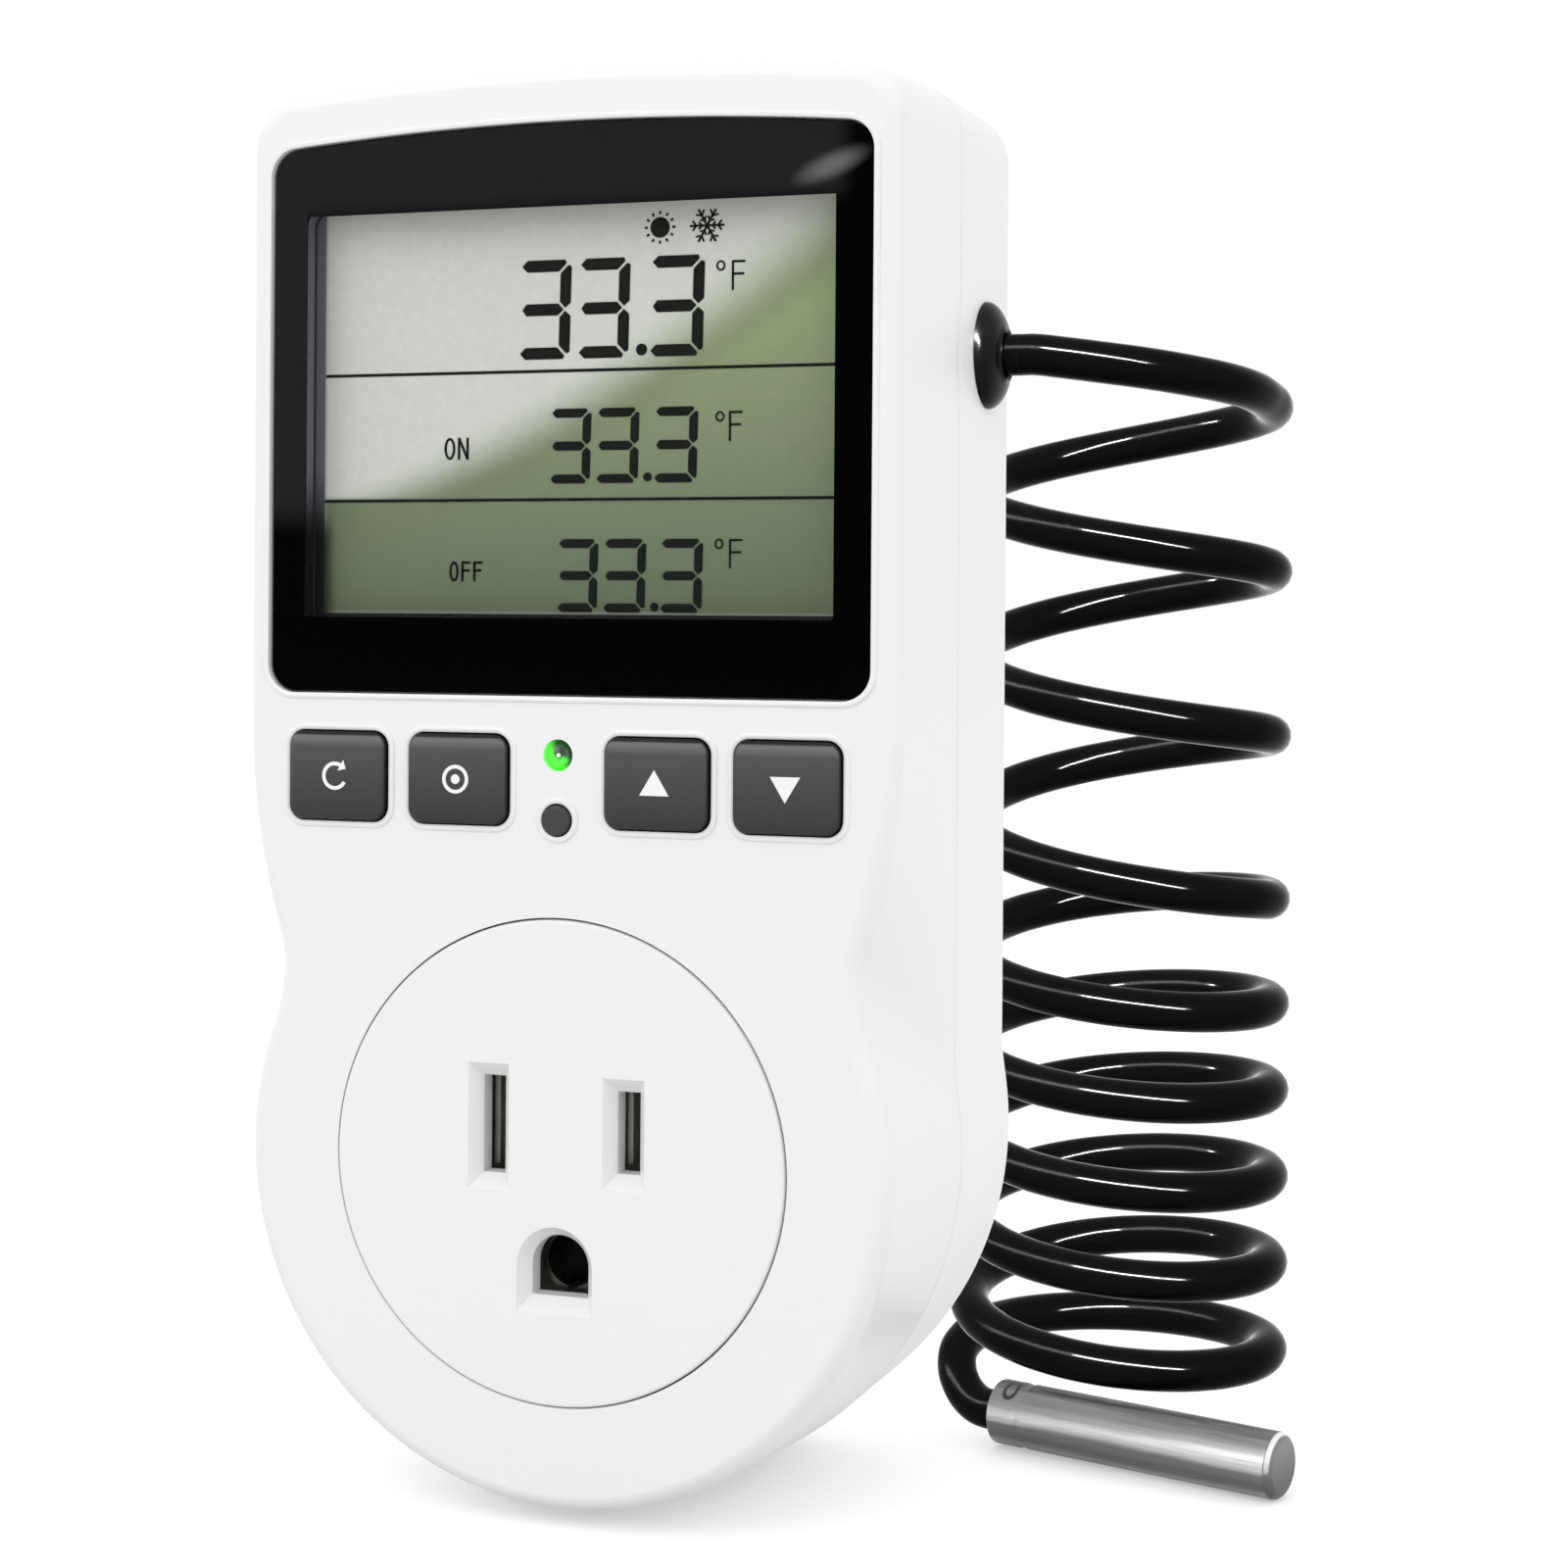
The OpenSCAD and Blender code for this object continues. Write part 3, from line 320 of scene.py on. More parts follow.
def box_points(x, z, w, h):
    return [(x + a * w / 2, z + b * h / 2) for a, b in ((-1, 1), (1, 1), (1, -1), (-1, -1))]


def bar(x, z, w, h, front, back):
    return prism(box_points(x, z, w, h), front, back, "bar")


def hoop(start, axis, radius, along, steps=72):
    """A circle of points square to an axis, for turned pieces."""
    across = axis.cross(Vector((0, 0, 1))).normalized()
    up = across.cross(axis).normalized()
    middle = Vector(start) + axis * along
    turns = [2 * math.pi * i / steps for i in range(steps)]
    return [tuple(middle + across * radius * math.cos(a) + up * radius * math.sin(a))
            for a in turns]


def turned(name, start, axis, profile, loop=False):
    return solid(name, [hoop(start, axis, r, d) for r, d in profile], loop)


def combine(base, tools, operation):
    """The exact union with, or difference from, several solids, which it uses up."""
    group = bpy.data.collections.new("tools")
    for tool in tools:
        group.objects.link(tool)
    step = base.modifiers.new("combine", "BOOLEAN")
    step.operation = operation
    step.operand_type = "COLLECTION"
    step.collection = group
    step.solver = "EXACT"
    bpy.context.view_layer.update()
    result = base.evaluated_get(bpy.context.evaluated_depsgraph_get())
    made = bpy.data.meshes.new_from_object(result)
    base.modifiers.clear()
    base.data = made
    for tool in tools:
        bpy.data.objects.remove(tool)
    bpy.data.collections.remove(group)


MERGE = 0.0005


def clean(piece):
    """Merges points that lie on each other and dissolves faces that have no area."""
    mesh = bmesh.new()
    mesh.from_mesh(piece.data)
    bmesh.ops.remove_doubles(mesh, verts=mesh.verts, dist=MERGE * MM)
    bmesh.ops.dissolve_degenerate(mesh, dist=MERGE * MM, edges=mesh.edges)
    mesh.to_mesh(piece.data)
    mesh.free()
    return piece


def smooth(piece, crease=32):
    piece.data.shade_smooth()
    piece.data.set_sharp_from_angle(angle=math.radians(crease))
    weigh = piece.modifiers.new("flat_faces_stay_flat", "WEIGHTED_NORMAL")
    weigh.keep_sharp = True


# ---- colours
def tone(value):
    """A screen value from 0 to 255 as light."""
    share = value / 255
    return share / 12.92 if share <= 0.04045 else ((share + 0.055) / 1.055) ** 2.4


def paint(red, green=None, blue=None):
    if green is None:
        green = blue = red
    return (tone(red), tone(green), tone(blue), 1.0)


# ---- shader helpers
def node(tree, kind, **settings):
    made = tree.nodes.new(kind)
    for key, value in settings.items():
        setattr(made, key, value)
    return made


def plug(value, socket):
    """Feeds a socket with another one's output or with a plain value."""
    if isinstance(value, bpy.types.NodeSocket):
        socket.id_data.links.new(value, socket)
    else:
        socket.default_value = value


def feed(target, values):
    for label, value in values.items():
        plug(value, target.inputs[label])


def maths(operation, *terms, kind="ShaderNodeMath"):
    """A sum of outputs and numbers, in the tree that the outputs are in; returns its result."""
    tree = next(term.id_data for term in terms if isinstance(term, bpy.types.NodeSocket))
    made = node(tree, kind, operation=operation)
    for value, socket in zip(terms, made.inputs):
        plug(value, socket)
    return made.outputs[0]


def vector_maths(operation, *terms):
    return maths(operation, *terms, kind="ShaderNodeVectorMath")


def times(a, b):
    return maths("MULTIPLY", a, b)


def minus(a, b):
    return maths("SUBTRACT", a, b)


def scaled(value, factor, offset):
    return maths("MULTIPLY_ADD", value, factor, offset)


def swing(value, amount, middle):
    """A noise made to swing by an amount about another middle than its own."""
    return scaled(minus(value, 0.5), amount, middle)


def distance(across, up):
    squares = [times(side, side) for side in (across, up)]
    return maths("SQRT", maths("ADD", *squares))


def noise(vector, scale, detail=3.0, roughness=0.55):
    made = node(vector.id_data, "ShaderNodeTexNoise")
    feed(made, {"Vector": vector, "Scale": scale, "Detail": detail, "Roughness": roughness})
    return made.outputs["Fac"]


def tinted(colour, factor):
    """A colour times a number."""
    made = node(factor.id_data, "ShaderNodeVectorMath", operation="SCALE")
    plug(colour, made.inputs[0])
    plug(factor, made.inputs["Scale"])
    return made.outputs[0]


def mixed(factor, a, b):
    """Colour a where the factor is 0, colour b where it is 1."""
    made = node(factor.id_data, "ShaderNodeMix", data_type="RGBA")
    for value, socket in ((factor, "Factor"), (a, 6), (b, 7)):
        plug(value, made.inputs[socket])
    return made.outputs[2]


def ramp(value, low, high, kind="SMOOTHSTEP"):
    """0 at low and before it, 1 at high and beyond."""
    made = node(value.id_data, "ShaderNodeMapRange", interpolation_type=kind)
    for given, socket in zip((value, low, high, 0.0, 1.0), made.inputs):
        plug(given, socket)
    return made.outputs[0]


def on_object(tree):
    return node(tree, "ShaderNodeTexCoord").outputs["Object"]


def split_up(vector):
    """A vector's X, Y and Z in millimetres."""
    split = node(vector.id_data, "ShaderNodeSeparateXYZ")
    plug(vector, split.inputs[0])
    return [times(out, 1 / MM) for out in split.outputs]


def places(tree):
    """The place on the object, and its X, Y and Z in millimetres."""
    place = on_object(tree)
    return place, *split_up(place)


# ---- surfaces that pieces share
# What a shared surface gives back
SURFACE = {"Colour": "Color", "Roughness": "Float", "Height": "Float"}


def new_group(name, inputs):
    """A surface as a node group; returns its tree, what it is given and its result's node."""
    tree = bpy.data.node_groups.new(name, "ShaderNodeTree")
    for way, sockets in (("INPUT", inputs), ("OUTPUT", SURFACE)):
        for label, kind in sockets.items():
            tree.interface.new_socket(label, in_out=way, socket_type="NodeSocket" + kind)
    given = tree.nodes.new("NodeGroupInput").outputs
    return tree, given, tree.nodes.new("NodeGroupOutput")


def moulding_group():
    """Moulded plastic: fine spark-eroded grain, faint flow clouds and an uneven sheen."""
    tree, asked, result = new_group("moulded_surface", {
        "Colour": "Color", "Grain": "Float", "Clouds": "Float", "Sheen": "Float",
        "Sheen Spread": "Float"})
    place = on_object(tree)
    clouds = noise(place, 90.0, 4.0)
    feed(result, {
        "Colour": tinted(asked["Colour"], swing(clouds, asked["Clouds"], 1.0)),
        "Roughness": swing(clouds, asked["Sheen Spread"], asked["Sheen"]),
        "Height": noise(place, asked["Grain"], 2.0)})
    return tree


def drawn_metal_group():
    """Metal drawn or rolled along one direction: hair lines, stains and wear of the polish."""
    tree, asked, result = new_group("drawn_metal", {
        "Colour": "Color", "Stretch": "Vector", "Stains": "Float", "Polish": "Float"})
    place = on_object(tree)
    lines = noise(vector_maths("MULTIPLY", place, asked["Stretch"]), 900.0, 4.0, 0.7)
    stains = noise(place, 160.0, 5.0, 0.6)
    shade = swing(lines, 0.12, swing(stains, asked["Stains"], 1.0))
    feed(result, {"Colour": tinted(asked["Colour"], shade),
                  "Roughness": swing(lines, 0.22, asked["Polish"]), "Height": lines})
    return tree


MOULDING = moulding_group()
DRAWN = drawn_metal_group()


def new_material(name):
    made = bpy.data.materials.new(name)
    made.use_nodes = True
    return made, made.node_tree, made.node_tree.nodes["Principled BSDF"]


def bumped(shader, height, depth):
    """Feeds a relief, depth millimetres high, to the shader's normal."""
    bump = node(shader.id_data, "ShaderNodeBump")
    feed(bump, {"Strength": 1.0, "Distance": depth * MM, "Height": height})
    plug(bump.outputs["Normal"], shader.inputs["Normal"])


def surfaced(name, group, values, depth, extra):
    """A material whose colour, roughness and relief come from a shared surface."""
    made, tree, shader = new_material(name)
    surface = node(tree, "ShaderNodeGroup", node_tree=group)
    feed(surface, values)
    feed(shader, {"Base Color": surface.outputs["Colour"],
                  "Roughness": surface.outputs["Roughness"], **extra})
    bumped(shader, surface.outputs["Height"], depth)
    return made


def plastic(name, colour, sheen=0.4, spread=0.1, grain=4000.0, depth=0.004, clouds=0.04, shine=0.5):
    values = {"Colour": colour, "Grain": grain, "Clouds": clouds, "Sheen": sheen,
              "Sheen Spread": spread}
    return surfaced(name, MOULDING, values, depth, {"Specular IOR Level": shine})


def metal(name, colour, polish=0.25, stretch=(1, 1, 1), stains=0.1, depth=0.002):
    values = {"Colour": colour, "Stretch": stretch, "Stains": stains, "Polish": polish}
    return surfaced(name, DRAWN, values, depth, {"Metallic": 1.0})


def recoloured(made, colour):
    """Puts a colour from the material's own tree in place of its plain one."""
    group = next(one for one in made.node_tree.nodes if one.type == "GROUP")
    plug(colour, group.inputs["Colour"])
    return made


# ---- materials
# The probe: its place, its size, and its painted reflection bands, how bright it is at each height
# (-1 is its underside)
PROBE_AT = TAIL_ROUTE[-1]
PROBE_TURN = math.radians(-16.5)
PROBE_R = 3.0
PROBE_BORE = 2.65
PROBE_LEN = 29.5
PROBE_REFLECTION_BANDS = ((-0.97, 40), (-0.78, 138), (-0.5, 96), (-0.16, 108), (0.1, 196), (0.28, 244),
               (0.46, 188), (0.74, 146), (0.93, 108), (1.02, 44))

# The glass: greens darker towards the bottom, and a lighter painted reflection that ends on a long
# slanting curve
LCD_HALF_W = 24.6
LCD_LOW = 47.4
LCD_TOP = 84.75
LCD_GREENS = ((83.0, (132, 146, 110)), (74.0, (133, 147, 109)), (63.0, (118, 129, 101)),
              (57.0, (105, 118, 92)), (48.0, (94, 105, 82)))
LCD_REFLECTION_COLOUR = (191, 194, 187)
LCD_EDGE_HIGHLIGHT_W = 0.3
DIVIDERS = (68.67, 57.4)
# where the painted shade round the screen and on the wall behind the lens goes from dark below to
# grey above
WALL_SHADE_SPAN = (54.0, 61.0)


def lcd_material():
    made, tree, shader = new_material("lcd_glass")
    place, x, _, z = places(tree)
    # each band is laid over the ones above it, from the top down
    colour = paint(*LCD_GREENS[0][1])
    for (above, _), (here, rgb) in zip(LCD_GREENS, LCD_GREENS[1:]):
        colour = mixed(ramp(z, here, above, "LINEAR"), paint(*rgb), colour)
    # the painted reflection lies above a curve, fades over a width, and stops at the lower divider
    curve = scaled(x, 0.535, scaled(times(x, x), 0.0052, 65.9))
    over = minus(z, curve)
    width = scaled(x, 0.05, 3.4)
    painted_reflection = ramp(over, times(width, -1.0), width)
    painted_reflection = times(painted_reflection, ramp(z, DIVIDERS[1] - 0.1, DIVIDERS[1] + 0.5))
    # a darker strip painted along the lower edge of the painted reflection
    reflection_strip = times(ramp(over, -6.0, -2.5), ramp(over, 2.0, -2.0))
    colour = mixed(times(reflection_strip, 0.35), colour, paint(104, 110, 84))
    colour = mixed(painted_reflection, colour, paint(*LCD_REFLECTION_COLOUR))
    colour = tinted(colour, swing(noise(place, 1500.0, 3.0), 0.16, 1.0))
    # outside is how far a place lies past the screen's nearest edge
    past = (minus(LCD_LOW, z), minus(z, LCD_TOP))
    outside = maths("MAXIMUM", minus(maths("ABSOLUTE", x), LCD_HALF_W), maths("MAXIMUM", *past))
    # a painted highlight along the screen's edge
    edge = times(ramp(outside, -LCD_EDGE_HIGHLIGHT_W, 0.0), 0.45)
    colour = mixed(edge, colour, paint(150, 155, 142))
    shadow = times(ramp(x, -23.2, -24.8), ramp(z, 57.0, 54.0))
    colour = mixed(shadow, colour, paint(22, 30, 22))
    # painted shade round the screen: grey above, dark below
    frame_shade = mixed(ramp(z, *WALL_SHADE_SPAN), paint(4), paint(96, 97, 104))
    colour = mixed(ramp(outside, 0.0, 0.08), colour, frame_shade)
    feed(shader, {"Base Color": colour, "Emission Color": colour, "Emission Strength": 0.12,
                  "Roughness": 0.5, "Specular IOR Level": 0.1})
    return made


def border_material():
    """The lens's black printed back, with a painted sheen along its top and its left side, and a
    painted glint at its upper right.
    """
    made = plastic("black_lens_border", paint(0), sheen=0.09, spread=0.08, grain=900.0,
                   depth=0.0006, clouds=0.3, shine=0.02)
    _, x, _, z = places(made.node_tree)
    # painted sheen: lighter along the top and down the left side
    left = times(ramp(x, -24.0, -25.2), ramp(z, 54.0, 58.0))
    band = maths("MAXIMUM", ramp(z, 81.5, 84.0), left)
    band = times(band, ramp(x, 26.8, 24.2))
    colour = mixed(band, paint(0), paint(33, 33, 36))
    # a painted glint near the upper right corner
    dx, dz = minus(x, 24.4), minus(z, 85.0)
    glint = distance(scaled(dx, 0.22, times(dz, 0.08)), scaled(dx, -0.24, times(dz, 0.66)))
    return recoloured(made, mixed(ramp(glint, 1.0, 0.1), colour, paint(98)))


def hole_wall_material():
    """The wall round the screen as it is seen through the lens, with painted shade: grey above,
    dark below.
    """
    made = plastic("window_wall", paint(60), sheen=0.6, clouds=0.1, shine=0.1)
    _, _, _, z = places(made.node_tree)
    return recoloured(made, mixed(ramp(z, *WALL_SHADE_SPAN), paint(2), paint(104, 105, 112)))


def key_material():
    """Grey rubber with painted light and shade: lighter towards the top, a painted highlight just
    below the upper edge, and painted shade black down its sides and along its upper edge.
    """
    made = plastic("grey_key_rubber", paint(66), sheen=0.42, spread=0.14, grain=5200.0, depth=0.005,
                   clouds=0.08, shine=0.25)
    _, _, y, z = places(made.node_tree)
    top = KEY_Z + KEY_H / 2
    # painted light: lighter towards the top, darker towards the bottom
    colour = mixed(ramp(z, top - KEY_H, top - 1.4, "LINEAR"), paint(44), paint(74))
    # a painted highlight just below the upper edge
    colour = mixed(ramp(z, top - 1.5, top - 0.5), colour, paint(104))
    # painted shade: black down the sides and along the upper edge
    dark = maths("MAXIMUM", ramp(y, FRONT_Y - 0.66, FRONT_Y - 0.5), ramp(z, top - 0.42, top - 0.22))
    return recoloured(made, mixed(dark, colour, paint(3)))


# Each spot on the lamp: where it is from the lamp's middle, its inner and outer radius, its
# strength and its colour. The last spot is a painted highlight.
LED_SPOTS = ((0.32, 0.28, 0.3, 0.75, 0.95, (2, 22, 2)), (0.62, -0.42, 0.1, 0.5, 0.8, (60, 214, 40)),
             (0.2, 0.02, 0.08, 0.24, 1.0, (190, 250, 180)))


def led_material():
    """A lit green lamp: bright at its lower left, with a dark cup behind a small glint."""
    made, tree, shader = new_material("lit_green_lamp")
    place, x, _, z = places(tree)
    low = minus(z, LED_Z)
    aslant = maths("ADD", times(x, -0.8), times(low, -0.6))
    colour = mixed(ramp(aslant, -0.5, 0.6), paint(4, 62, 4), paint(58, 238, 20))
    for at_x, at_z, near, far, strength, rgb in LED_SPOTS:
        away = distance(minus(x, at_x), minus(low, at_z))
        spot = times(ramp(away, far, near), strength)
        colour = mixed(spot, colour, paint(*rgb))
    colour = tinted(colour, scaled(noise(place, 2500.0, 2.0), 0.3, 0.85))
    feed(shader, {"Base Color": colour, "Emission Color": colour, "Emission Strength": 0.75,
                  "Roughness": 0.06, "Coat Weight": 0.6})
    return made


def probe_material():
    """Drawn steel with painted reflections: bands along the tube painted as if lit from one side,
    hair lines along it, a duller cap with painted shade and a painted highlight round its rim, and
    the painted shade of a small dent.
    """
    made, tree, shader = new_material("drawn_probe_steel")
    shifted = vector_maths("SUBTRACT", on_object(tree), Vector(PROBE_AT) * MM)
    level = node(tree, "ShaderNodeVectorRotate", rotation_type="Z_AXIS")
    feed(level, {"Vector": shifted, "Angle": -PROBE_TURN})
    along, _, height = split_up(level.outputs[0])
    pulled = vector_maths("MULTIPLY", level.outputs[0], (0.05, 1, 1))
    lines = noise(pulled, 1100.0, 4.0, 0.7)
    share = maths("DIVIDE", height, PROBE_R)
    level_z = maths("ADD", share, times(minus(lines, 0.5), 0.55))
    # painted reflections: light and dark bands by height round the tube
    colour = paint(PROBE_REFLECTION_BANDS[0][1])
    for (below, _), (here, value) in zip(PROBE_REFLECTION_BANDS, PROBE_REFLECTION_BANDS[1:]):
        colour = mixed(ramp(level_z, below, here), colour, paint(value))
    # painted shade on the cap, lighter towards its top
    face = mixed(ramp(level_z, -0.8, 0.9), paint(86), paint(128))
    colour = mixed(ramp(along, PROBE_LEN - 0.75, PROBE_LEN - 0.6), colour, face)
    # a painted highlight round the upper part of the cap's rim
    rim = times(ramp(along, PROBE_LEN - 0.62, PROBE_LEN - 0.5),
                ramp(along, PROBE_LEN - 0.12, PROBE_LEN - 0.25))
    rim = times(rim, ramp(level_z, -0.1, 0.3))
    colour = mixed(rim, colour, paint(236))
    # painted shade of a small dent near the mouth: a dark ring
    away = distance(minus(along, 1.9), times(minus(share, 0.86), 3.2))
    dent_shade = times(ramp(away, 0.85, 0.65), ramp(away, 0.35, 0.5))
    colour = mixed(times(dent_shade, 0.85), colour, paint(24))
    feed(shader, {"Base Color": colour, "Metallic": 0.75, "Roughness": scaled(lines, 0.3, 0.22)})
    bumped(shader, lines, 0.004)
    return made


def window_material():
    """The lens's clear window: almost all light goes through, a little mirrors."""
    made, tree, shader = new_material("clear_window")
    smudge = noise(on_object(tree), 120.0, 4.0)
    feed(shader, {"Base Color": (0.9, 0.92, 0.9, 1), "Metallic": 1.0, "Alpha": 0.006,
                  "Roughness": scaled(smudge, 0.06, 0.02)})
    return made


def board_material():
    """Green solder mask over copper tracks, with tinned pads."""
    made, tree, shader = new_material("solder_mask")
    place, x, _, z = places(tree)
    upright = node(tree, "ShaderNodeCombineXYZ")
    feed(upright, {"X": x, "Y": z})
    tracks = node(tree, "ShaderNodeTexBrick")
    feed(tracks, {"Vector": upright.outputs[0], "Scale": 0.4, "Mortar Size": 0.06,
                  "Color1": paint(22, 92, 48), "Color2": paint(26, 104, 54),
                  "Mortar": paint(48, 132, 70)})
    dots = node(tree, "ShaderNodeTexVoronoi")
    feed(dots, {"Vector": place, "Scale": 260.0})
    pads = ramp(dots.outputs["Distance"], 0.16, 0.12)
    colour = mixed(pads, tracks.outputs["Color"], paint(196, 198, 192))
    feed(shader, {"Base Color": colour, "Metallic": times(pads, 0.9), "Roughness": 0.34})
    bumped(shader, tracks.outputs["Fac"], 0.03)
    return made


def fuse_material():
    """Clear glass in the fuse's middle, plated caps at its ends."""
    made, tree, shader = new_material("fuse_body")
    place, x, _, _ = places(tree)
    cap = ramp(maths("ABSOLUTE", minus(x, FUSE_X)), 4.9, 5.1)
    feed(shader, {"Base Color": mixed(cap, paint(205, 222, 220), paint(190, 188, 182)),
                  "Metallic": cap, "Roughness": scaled(noise(place, 700.0), 0.2, 0.08)})
    return made


HOUSING = plastic("white_housing", paint(236), sheen=0.33, spread=0.12, grain=2600.0,
                  depth=0.003, clouds=0.012, shine=0.45)
BORDER = border_material()
HOLE_WALL = hole_wall_material()
LCD = lcd_material()
WINDOW = window_material()
INK = plastic("lcd_segment_ink", paint(5, 9, 4), sheen=0.6, depth=0.001, clouds=0.3, shine=0.03)
KEY = key_material()
PRINT = plastic("white_key_print", paint(240), sheen=0.5, grain=6000.0, depth=0.003, clouds=0.05)
RESET = plastic("dark_reset_button", paint(50), grain=5200.0, clouds=0.08, shine=0.4)
LAMP = led_material()
CORD = plastic("black_cord_jacket", paint(0.3), sheen=0.11, spread=0.08, grain=1100.0, depth=0.002,
               clouds=0.5, shine=0.02)
GLAND = plastic("black_gland_rubber", paint(0.6), sheen=0.2, spread=0.12, grain=2600.0,
                clouds=0.5, shine=0.06)
STEEL = probe_material()
NODE_MATERIALS = (
    (plastic("ivory_inner_plastic", paint(222, 220, 210), sheen=0.5),
     "contact_carrier blade_holder sensor_connector"),
    (plastic("black_frame_plastic", paint(20), sheen=0.5, clouds=0.2),
     "lcd_frame mode_plunger set_plunger up_plunger down_plunger reset_plunger"),
    (plastic("milky_light_panel", paint(238, 240, 232), sheen=0.25), "light_panel"),
    (plastic("striped_contact_rubber", paint(214, 120, 150), sheen=0.6), "contact_strips"),
    (plastic("black_epoxy", paint(24), sheen=0.55, grain=3000.0, depth=0.01),
     "controller_chip rectifier board_link thermistor"),
    (plastic("blue_relay_case", paint(30, 84, 170), sheen=0.3), "relay"),
    (plastic("yellow_capacitor_case", paint(232, 190, 40), sheen=0.3), "suppression_capacitor"),
    (plastic("navy_capacitor_sleeve", paint(28, 34, 74), sheen=0.22), "bulk_capacitor"),
    (plastic("blue_lacquer", paint(42, 96, 150), sheen=0.3, depth=0.02), "varistor"),
    (metal("nickel_plated_blade", paint(206, 202, 192), polish=0.22, stretch=(1, 0.05, 1)),
     "line_blade neutral_blade earth_pin"),
    (metal("tinned_contact_brass", paint(232, 229, 222), polish=0.42, stretch=(1, 0.1, 1),
           stains=0.15), "line_contact neutral_contact"),
    # a darker copy of the contact metal: painted shade deep in the earth hole
    (metal("shaded_contact_brass", paint(104, 101, 96), polish=0.3), "earth_contact"),
    (metal("zinc_plated_steel", paint(178, 180, 180), polish=0.3, stains=0.2),
     "board_screws case_screws fuse_clips push_switches"),
    (board_material(), "display_board power_board"), (fuse_material(), "fuse"),
    (CORD, "lead_inner_end"), (GLAND, "probe_seal"))

for material, names in NODE_MATERIALS:
    for name in names.split():
        for slot in nodes[name].material_slots:
            slot.material = material


def dress(piece, materials, body=BODY, replaced=(), crease=32):
    """Gives a piece its materials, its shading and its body."""
    for material in materials:
        piece.data.materials.append(material)
    if piece.type == "MESH":
        smooth(piece, crease)
    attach(piece, body)
    if replaced:
        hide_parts(*replaced)
    return piece


# ---- housing
EDGE_STEPS = 10
FRONT_EDGE_IN = 1.5
FADE_DEPTHS = (2.6, 3.6, 4.8, 6.2, 7.8, 9.6, 11.6, 13.6, 15.4)
GROOVE = 0.12
GROOVE_DEPTH = 0.2
CUT_FRONT, CUT_BACK = -1, 4  # from before the front face to behind its wall
BACK_WALL = (31, 40)         # from before the rear wall to behind it
CASE_POST_R = 2.8
CASE_BORE_R = 1.35
CASE_SLEEVE_R = 3.6
CASE_HOLE_R = 1.4
HEAD_HOLE_R = 2.4
HEAD_FLOOR = 27
BOARD_POST_R = 2.2
BOARD_BORE_R = 1.05
BOARD_POST_BACK = 9.4
POWER_POST_FRONT = 31.1
LED_GAP = 0.1
BOSS_R = 19
# How far the boss grows beyond its radius, and its height above the rear face
BOSS_PROFILE = ((0.5, -1), (0.5, -0.01), (0.2, 0.06), (0.03, 0.2), (0, 0.5), (-0.08, 0.7),
                (-0.3, BOSS_H))
# How far a rim reaches out from its gap, and how deep each of its points lies
RIM_PROFILE = ((-0.3, 0.7), (-0.3, -0.1), (0, -0.16), (0.12, -0.22), (0.25, -0.25), (0.38, -0.23),
               (0.47, -0.16), (0.53, -0.06), (0.55, 0.05), (0.55, 0.7))
TONGUE_ZS = (52, 78)
TONGUE_SIZE = (1.2, 8)
TONGUE_X = 27.9
FOOT_X = 28.35
BLADE_HOLE_W = 1.7
BLADE_HOLE_HEIGHTS = (8.14, 6.55)
EARTH_HOLE_R = 2.8
GLAND_HOLE_R = 3.7


def edge_profile(inwards, depth):
    turns = [math.pi / 2 * i / EDGE_STEPS for i in range(EDGE_STEPS + 1)]
    return [(inwards * (1 - math.sin(a)), depth * (1 - math.cos(a))) for a in turns]


def housing_rings(rings):
    return [flat(inset(housing_outline(depth), inwards), depth) for inwards, depth in rings]


def posts(at, r, front, back, steps=40):
    return [prism(circle(x, z, r, steps), front, back) for x, z in at]


def rim_ring(outline_at, gap):
    """A raised lip with a round crest, whose inner side the opening's cut then trims."""
    profile = [(gap + out, depth) for out, depth in RIM_PROFILE]
    return profiled("rim", outline_at, profile, loop=True)


